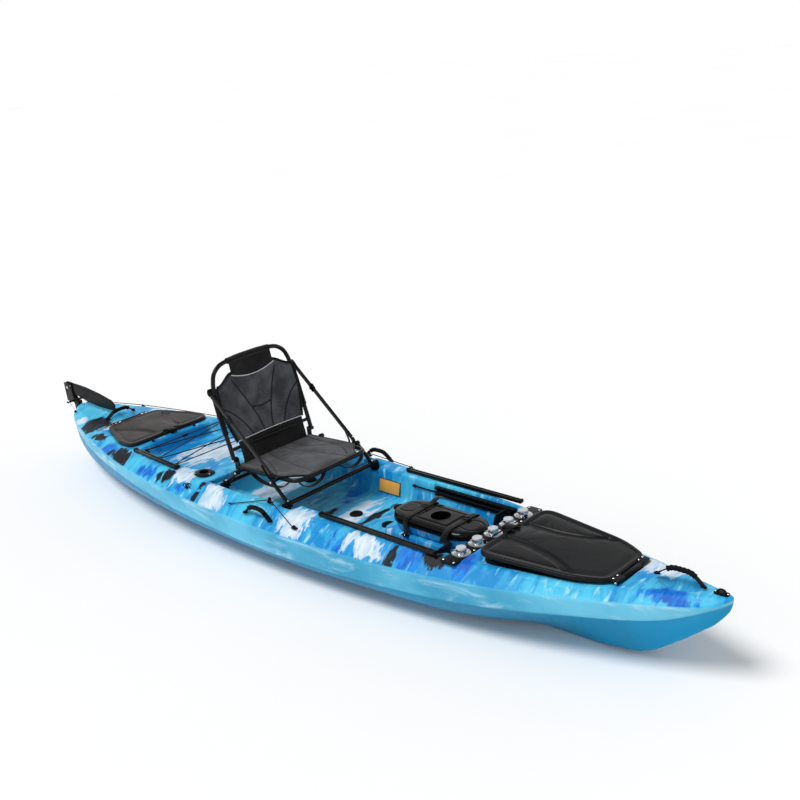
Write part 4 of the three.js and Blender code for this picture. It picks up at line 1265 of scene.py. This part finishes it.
def make_pod():
    space = Space((474, -104, 212), (932, 104, 296), 2.6)
    outside = stadium(space.x, space.y)
    make_pod_tub(space, outside)
    make_pod_cover(space, outside)
    make_pod_straps()


make_pod()


# ---- seat frame ----
TUBE = 10
HINGE_X, HINGE_Z = -300, 396
SEAT_PATH = [(-318, SEAT_Y, 352), (-150, SEAT_Y, 361), (30, SEAT_Y, 370), (68, SEAT_Y - 8, 372),
             (88, SEAT_Y - 34, 373), (92, SEAT_Y - 70, 373), (92, 0, 373)]
BACK_PATH = [(HINGE_X, BACK_Y, HINGE_Z - 8), (-312, BACK_Y, 440), (-340, BACK_Y, 540),
             (-377, BACK_Y - 4, 680), (-394, BACK_Y - 26, 768), (-400, BACK_Y - 70, 804),
             (-403, 90, 814), (-404, 0, 816)]
LUG = [(-313, 350), (-287, 350), (-287, 400), (-293, 409), (-307, 409), (-313, 400)]
KNUCKLE = [(0, 11), (10, 11), (11.5, 8), (11.5, -8), (10, -11), (0, -11)]
LEG_Z = 284


def plate_on_side(name, outline, y0, y1):
    """A flat piece whose (x, z) outline stands upright between y0 and y1."""
    obj = plate(name, [(x, -z) for x, z in outline], min(y0, y1), max(y0, y1), 1.2)
    return moved(obj, matrix=Matrix.Rotation(math.radians(-90), 4, "X"))


def make_leg(name, foot, top, height):
    """A cross tube with an arm on each side up to the seat, and its feet and bolts."""
    leg = [tube("cross", [(foot, y, LEG_Z) for y in (-290, 0, 290)], TUBE, 20)]
    for s in (-1, 1):
        y, middle = s * LEG_Y, ((foot + top) / 2, s * LEG_Y, (LEG_Z + height) / 2)
        knuckle = turned("knuckle", KNUCKLE, steps=24)
        leg += [tube("arm", [(foot, y, LEG_Z), middle, (top, y, height)], 8.5, 18),
                tube("pin", [(top, s * (SEAT_Y + 14), height), (top, s * (LEG_Y + 10), height)], 6, 14),
                moved(knuckle, matrix=facing((top, y, height), (0, s, 0)))]
    assembled(f"seat_{name}_leg_tubes", leg, "anodised", "root", [f"seat_{name}_leg"])
    feet = []
    for s in (-1, 1):
        feet += [slab("foot", (foot - 16, s * 262, LEDGE - 11.6), (foot + 16, s * 288, 279), 3),
                 tube("cap", [(foot, s * 285, LEG_Z), (foot, s * 291, LEG_Z)], 11.2, 20),
                 slab("clamp", (foot - 14, s * 248, 268), (foot + 14, s * 274, 298), 4)]
    assembled(f"seat_{name}_leg_feet", feet, "plastic")
    bolts = [screw((top, s * (LEG_Y + 11), height), (0, s, 0), 6) for s in (-1, 1)]
    bolts += [screw((foot, s * 261, 298), radius=4) for s in (-1, 1)]
    assembled(f"seat_{name}_leg_bolts", bolts, "steel")


def make_seat_frame():
    base = [tube("loop", spline(both_ways(SEAT_PATH), 150), TUBE, 20),
            tube("brace", [(HINGE_X, -SEAT_Y, 353), (HINGE_X, SEAT_Y, 353)], 9, 18)]
    base += [plate_on_side("lug", LUG, s * (SEAT_Y + 4), s * (SEAT_Y + 12)) for s in (-1, 1)]
    assembled("seat_base_tubes", base, "anodised", "root", ["seat_frame"])
    make_leg("front", 68, -20, 367)
    make_leg("rear", -350, -262, 355)
    back = [tube("loop", spline(both_ways(BACK_PATH), 170), TUBE, 20),
            tube("brace", [(-313, -BACK_Y, 442), (-313, BACK_Y, 442)], 8, 18)]
    assembled("seat_back_tubes", back, "anodised", "seat_back", ["seat_back_frame"])
    hinges = [screw((HINGE_X, s * (BACK_Y + TUBE), HINGE_Z), (0, s, 0), 8) for s in (-1, 1)]
    assembled("seat_hinge_bolts", hinges, "steel", "seat_back")


# ---- seat fabric: quilted panels, filled by cloth simulation ----
def seam_distance(y, h, seams):
    """How far each point is from the nearest seam."""
    nearest = np.full(y.shape, 1e9)
    for seam in seams:
        line = spline([(a, b, 0) for a, b in seam], 30)
        for (ax, ay, _), (bx, by, _) in zip(line, line[1:]):
            ex, ey = bx - ax, by - ay
            t = np.clip(((y - ax) * ex + (h - ay) * ey) / (ex * ex + ey * ey), 0, 1)
            nearest = np.minimum(nearest, np.hypot(y - ax - t * ex, h - ay - t * ey))
    return nearest


FILL_FRAMES = 16


def fill(obj, pressure, cap):
    """Swells a panel between its pinned seams, then keeps every point within `cap` of where it began."""
    start = np.zeros(len(obj.data.vertices) * 3)
    obj.data.vertices.foreach_get("co", start)
    cloth = obj.modifiers.new("cloth", "CLOTH")
    cloth.settings.vertex_group_mass = "pin"
    cloth.settings.use_pressure = True
    cloth.settings.uniform_pressure_force = pressure
    cloth.settings.effector_weights.gravity = 0
    cloth.settings.quality = 6
    cloth.settings.mass = 0.2
    cloth.point_cache.frame_end = FILL_FRAMES
    for number in range(1, FILL_FRAMES + 1):
        bpy.context.scene.frame_set(number)
        bpy.context.evaluated_depsgraph_get()
    apply_modifiers(obj)
    bpy.context.scene.frame_set(1)
    end = np.zeros_like(start)
    obj.data.vertices.foreach_get("co", end)
    step = (end - start).reshape(-1, 3)
    far = np.linalg.norm(step, axis=1, keepdims=True) / MM
    step *= np.where(far > cap, cap / np.maximum(far, 1e-6), 1)
    obj.data.vertices.foreach_set("co", (start.reshape(-1, 3) + step).ravel())


def panel_faces(rows, columns):
    """The quads of a panel's front layer, then those of the back layer the other way round."""
    index = np.arange(rows * columns).reshape(rows, columns)
    faces = []
    for grid, flip in ((index, False), (index + rows * columns, True)):
        corners = [grid[:-1, :-1], grid[:-1, 1:], grid[1:, 1:], grid[1:, :-1]]
        quads = np.stack(corners, -1).reshape(-1, 4)
        faces += [tuple(q[::-1]) if flip else tuple(q) for q in quads]
    return faces


def weld(bm):
    bmesh.ops.remove_doubles(bm, verts=bm.verts, dist=1e-6)
    face_outwards(bm)


def panel(name, across, up, place, seams, thickness, pressure, cap):
    """A two-sided quilted panel; `place` puts its (y, height) pairs in space and seams stay pinned."""
    rows, columns = across.shape
    border = np.zeros((rows, columns), bool)
    border[[0, -1]] = border[:, [0, -1]] = True
    seam = np.minimum(seam_distance(across, up, seams), 99)
    layers = [place(across, up, side * thickness * (~border)) for side in (1, -1)]
    points = np.concatenate([layer.reshape(-1, 3) for layer in layers])
    obj = with_bmesh(mesh_object(name, points, panel_faces(rows, columns)), weld)
    tree = KDTree(len(points))
    for i, point in enumerate(points):
        tree.insert(Vector(point) * MM, i)
    tree.balance()
    source = [tree.find(v.co)[1] for v in obj.data.vertices]
    values = np.concatenate([seam.ravel(), seam.ravel()])[source].astype(np.float32)
    obj.data.attributes.new("seam", "FLOAT", "POINT").data.foreach_set("value", values)
    hold = np.concatenate([(border | (seam < 3.5)).ravel(), np.ones(rows * columns, bool)])
    group = obj.vertex_groups.new(name="pin")
    group.add([i for i, k in enumerate(source) if hold[k]], 1.0, "REPLACE")
    fill(obj, pressure, cap)
    smoothing = obj.modifiers.new("fine", "SUBSURF")
    smoothing.levels = smoothing.render_levels = 1
    return all_smooth(apply_modifiers(obj))


BACK_LOW, BACK_HIGH = 470, 757
HEAD_LOW, HEAD_SAG = 748, 24
BACK_LOW, BACK_HIGH = 470, 757


def back_place(across, height, lift):
    """Seat-back points at (y, height), `lift` in front of the sling between the back tubes."""
    x = np.interp(height, [388, 440, 540, 680, 768, 816, 840], [-300, -312, -340, -377, -394, -404, -410])
    hollow = 16 * (1 - np.minimum(np.abs(across) / BACK_Y, 1) ** 2) - 12
    normal = np.array([0.967, 0, 0.255])
    base = np.stack([x - hollow + 3, across, height + 0 * x], -1)
    return base + np.asarray(lift)[..., None] * normal


def base_place(across, along, lift):
    """Seat points at (y, x), `lift` above the sling between the side tubes."""
    height = np.interp(along, [-318, 92], [363, 384])
    sag = 12 * (1 - np.minimum(np.abs(across) / 225, 1) ** 2) * smooth(-330, -200, along) - 1
    return np.stack([along, across, height - sag + np.asarray(lift)], -1)


def seat_half_width(x):
    return 224 - 74 * smooth(-10, 90, x) ** 0.8


def mirrored(seams):
    return seams + [[(-y, h) for y, h in seam] for seam in seams]


def back_line(pairs, lift):
    return [tuple(back_place(np.array(y, float), np.array(z, float), lift)) for y, z in pairs]


def make_back_cushion():
    """The grey panel of the seat back; returns its points, along whose edges the binding runs."""
    s, t = np.meshgrid(np.linspace(-1, 1, 81), np.linspace(0, 1, 61))
    crest = BACK_HIGH - 38 * smooth(0.58, 0.95, np.abs(s)) - 22 * np.maximum(1 - (s / 0.56) ** 2, 0)
    height = BACK_LOW + t * (crest - BACK_LOW)
    share = (height - BACK_LOW) / (BACK_HIGH - BACK_LOW)
    across = s * np.interp(share, [0, 0.25, 0.5, 0.8, 1], [196, 216, 229, 225, 208])
    seams = mirrored([[(-26, 472), (-40, 540), (-82, 640), (-128, 728)],
                      [(-92, 472), (-124, 530), (-174, 590), (-226, 628)]])
    seams.append([(-52, 585), (0, 578), (52, 585)])
    back = panel("seat_back_cushion", across, height, back_place, seams, 4, 7, 10)
    fit(back, "back_mesh", "seat_back", ["back_pad"])
    return across, height


def cloth_strip(name, low, high, halves, sag, forward):
    """A black strip across the back, with half widths from bottom to top and a sagging lower edge."""
    s, t = np.meshgrid(np.linspace(-1, 1, 41), np.linspace(0, 1, 21))
    height = low + t * (high - low) - sag * (1 - s * s) * (1 - t)
    across = s * np.interp(t, [0, 0.5, 1], halves)
    return moved(panel(name, across, height, back_place, [], 2.5, 3, 6), (forward, 0, 0))


def make_back_trim(across, height):
    trims = [strap("trim", spline(back_line(zip(across[-1], height[-1]), 2), 80), 15, (0, 0.2, 1), 6)]
    trims += [strap("trim", spline(back_line(zip(across[:, c], height[:, c]), 2), 40), 14, (0, 1, 0), 6)
              for c in (0, -1)]
    port, starboard = (tube("wrap", spline(BACK_PATH, 60)[12:31], 13, 18) for _ in SIDES)
    moved(starboard, matrix=Matrix.Scale(-1, 4, (0, 1, 0)))
    with_bmesh(starboard, lambda bm: bmesh.ops.reverse_faces(bm, faces=bm.faces))
    assembled("seat_back_binding", trims + [port, starboard], "webbing", "seat_back")
    top = [p for p in spline(both_ways(BACK_PATH), 170) if abs(p[1]) < 122]
    fit(tube("seat_back_head_wrap", top, 13.5, 20), "webbing", "seat_back")
    low = [(y, BACK_LOW + 1) for y in np.linspace(-192, 192, 30)]
    head = [(y, HEAD_LOW - HEAD_SAG * (1 - (y / 125) ** 2)) for y in np.linspace(-125, 125, 30)]
    pipes = [tube("pipe", back_line(low, 6), 2.2, 8), tube("pipe", back_line(head, 9), 2.4, 8)]
    assembled("seat_back_piping", pipes, "silver", "seat_back")


def make_back_fabric():
    across, height = make_back_cushion()
    head = cloth_strip("seat_back_head_panel", HEAD_LOW, 828, (125, 124, 126), HEAD_SAG, 8)
    fit(head, "black_cloth", "seat_back")
    skirt = cloth_strip("seat_back_skirt", 362, 472, (196, 194, 196), 0, 3)
    fit(skirt, "black_cloth", None)
    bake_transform(skirt)
    make_back_trim(across, height)


def make_base_fabric():
    """The seat's cushion and the piping round it."""
    s, t = np.meshgrid(np.linspace(-1, 1, 71), np.linspace(0, 1, 71))
    along = -312 + t * 396
    across = s * seat_half_width(along)
    seams = mirrored([[(96, -306), (120, -200), (170, -110), (212, -40)],
                      [(40, -306), (66, -170), (90, -20), (104, 78)],
                      [(190, -300), (184, -180), (176, -40), (120, 60)]])
    pad = panel("seat_cushion", across, along, base_place, seams, 5, 7, 9)
    fit(pad, "base_mesh", "root", ["seat_pad"])
    rim = [(seat_half_width(x), x) for x in np.linspace(-312, 84, 40)]
    front = [(y, 84) for y in np.linspace(rim[-1][0], -rim[-1][0], 20)[1:-1]]
    rim = rim + front + [(-y, x) for y, x in rim[::-1]]
    route = [tuple(base_place(np.array(y), np.array(x), 0)) for y, x in rim]
    fit(tube("seat_base_binding", route, 4.2, 10), "webbing")


STRAP_ACROSS = (0.656, 0, 0.754)  # square to the side straps' run from the back to the base


def make_seat_straps():
    for side, s in SIDES:
        top, low = (-378, s * 250, 690), (-40, s * 250, 396)
        points = [tuple(np.array(top) + (np.array(low) - np.array(top)) * t)
                  for t in np.linspace(0, 1, 30)]
        band = strap(f"seat_back_strap_{side}", points, 25, STRAP_ACROSS, 2.2)
        fit(band, "webbing", None, [f"back_strap_{side}"])
        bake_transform(band)
        hook = [top, (-388, s * 251, 702), (-392, s * 244, 712), (-386, s * 240, 702),
                (-372, s * 247, 684)]
        fit(strap(f"seat_strap_loops_{side}", spline(hook, 16), 22), "webbing", "seat_back")
        flat = Matrix.Rotation(math.atan2(0.656, 0.754), 4, "Y") @ Matrix.Rotation(math.pi / 2, 4, "X")
        flat = Matrix.Translation(Vector(points[9]) * MM) @ flat
        buckle = [slab("buckle", (-15, -16, -3), (15, 16, 3.4), 2),
                  slab("buckle", (-9, -18, -4), (-3, 18, 5), 2)]
        assembled(f"seat_strap_buckle_{side}", buckle, "plastic", "seat_back", at=flat)
        loop = [low, (-28, s * 249, 380), (-30, s * 243, 362), (-44, s * 240, 366),
                (-56, s * 246, 384), (-84, s * 250, 430)]
        fit(strap(f"seat_strap_anchor_{side}", spline(loop, 24), 22), "webbing")
        sling = [(-230, s * 208, 350), (-190, s * 205, 322), (-110, s * 200, 306),
                 (-20, s * 202, 322), (20, s * 206, 352)]
        fit(strap(f"seat_sling_{side}", spline(sling, 30), 24), "webbing")
        tie = [(74, s * 40, 362), (84, s * 70, 338), (86, s * 130, 326), (82, s * 176, 340),
               (76, s * 190, 358)]
        fit(strap(f"seat_front_loop_{side}", spline(tie, 24), 20, (1, 0, 0), 4), "webbing")


make_seat_frame()
make_back_fabric()
make_base_fabric()
make_seat_straps()


# ---- small fittings on the hull ----
PLUG = [(0, 1), (12, 1), (14, 4.5), (26, 4.5), (29, 2.5), (30, -2.6), (14, -2.8), (11, -20), (0, -20)]
BOW_EYE = [(1914, 2), (1921, 12), (1931, 15), (1941, 12), (1948, 2)]
LABEL_X, LABEL_Z = (140, 264), (184, 239)


def make_fittings():
    plugs = []
    for x, y in SCUPPERS:
        floor = TANK_FLOOR if x < -500 else FLOOR
        plugs += [turned("plug", PLUG, (x, s * y, floor)) for s in ((1, -1) if y else (1,))]
    assembled("scupper_plugs", plugs, "rubber")
    bow = float(deck_height(1931))
    foot = rounded([(1904, -13, 12), (1958, -13, 12), (1958, 13, 12), (1904, 13, 12)])
    arch = spline([(x, 0, bow + rise) for x, rise in BOW_EYE], 20)
    parts = [plate("eye", foot, bow - 3, bow + 3.4, 1.5), tube("eye", arch, 3.6, 12)]
    assembled("bow_eye", parts, "plastic")
    screws = [screw((x, 0, bow + 3.2), radius=4) for x in (1909, 1953)]
    assembled("bow_eye_screws", screws, "steel")


def footwell_wall(z):
    return 218.5 + (z - FLOOR) * 0.235


def make_label():
    """A plain amber plate with a dark edge on the port wall of the footwell."""
    faces = [(0, 1, 2, 3), (7, 6, 5, 4)]
    faces += [(i, i + 4, (i + 1) % 4 + 4, (i + 1) % 4) for i in range(4)]
    for name, look, grow, lift in (("wall_label_edge", "plastic", 3, 0), ("wall_label", "label", 0, 0.9)):
        (x0, x1), (z0, z1) = ((low - grow, high + grow) for low, high in (LABEL_X, LABEL_Z))
        front = [(x, footwell_wall(z) - 4 - lift, z) for x, z in ((x0, z0), (x1, z0), (x1, z1), (x0, z1))]
        back = [(x, y + 1.2, z) for x, y, z in front]
        fit(soft_edges(mesh_object(name, front + back, faces), 0.3), look)


make_fittings()
make_label()


# ---- studio ----
FLOOR_REACH, FLOOR_Z = 40000, -1.5
SUN_STRENGTH, SUN_WIDTH, SUN_RAYS = 2.1, 26, (0.3, 0.45, -1)
HORIZON, OVERHEAD = (0.3, 1.0), (0.6, 0.38)  # how far up the sky, and how bright it is there


def make_studio():
    n = Nodes("studio_floor")
    n.set(base_color=n.mix(n.noise(0.6, 2), "#f4f4f4", "#f8f8f8"), roughness=0.9)
    corners = [(u * FLOOR_REACH, v * FLOOR_REACH, FLOOR_Z) for u, v in ((-1, -1), (1, -1), (1, 1), (-1, 1))]
    floor = mesh_object("studio_floor", corners, [(0, 1, 2, 3)])
    floor.data.materials.append(n.material)
    make_sky()
    sun = bpy.data.lights.new("key", "SUN")
    sun.energy, sun.angle = SUN_STRENGTH, math.radians(SUN_WIDTH)
    lamp = bpy.data.objects.new("key", sun)
    lamp.rotation_euler = Vector(SUN_RAYS).to_track_quat("-Z", "Y").to_euler()
    bpy.context.scene.collection.objects.link(lamp)
    bpy.context.scene.view_settings.view_transform = "Standard"


def make_sky():
    """White round the horizon and softer overhead, so that the floor runs into it without a line."""
    world = bpy.data.worlds.new("studio")
    world.use_nodes = True
    tree = world.node_tree
    place = tree.nodes.new("ShaderNodeTexCoord")
    split = tree.nodes.new("ShaderNodeSeparateXYZ")
    level = tree.nodes.new("ShaderNodeMapRange")
    for end, (height, strength) in (("Min", HORIZON), ("Max", OVERHEAD)):
        level.inputs["From " + end].default_value = height
        level.inputs["To " + end].default_value = strength
    tree.links.new(place.outputs["Generated"], split.inputs[0])
    tree.links.new(split.outputs["Z"], level.inputs["Value"])
    tree.links.new(level.outputs[0], tree.nodes["Background"].inputs["Strength"])
    tree.nodes["Background"].inputs["Color"].default_value = (1, 1, 1, 1)
    bpy.context.scene.world = world


make_studio()
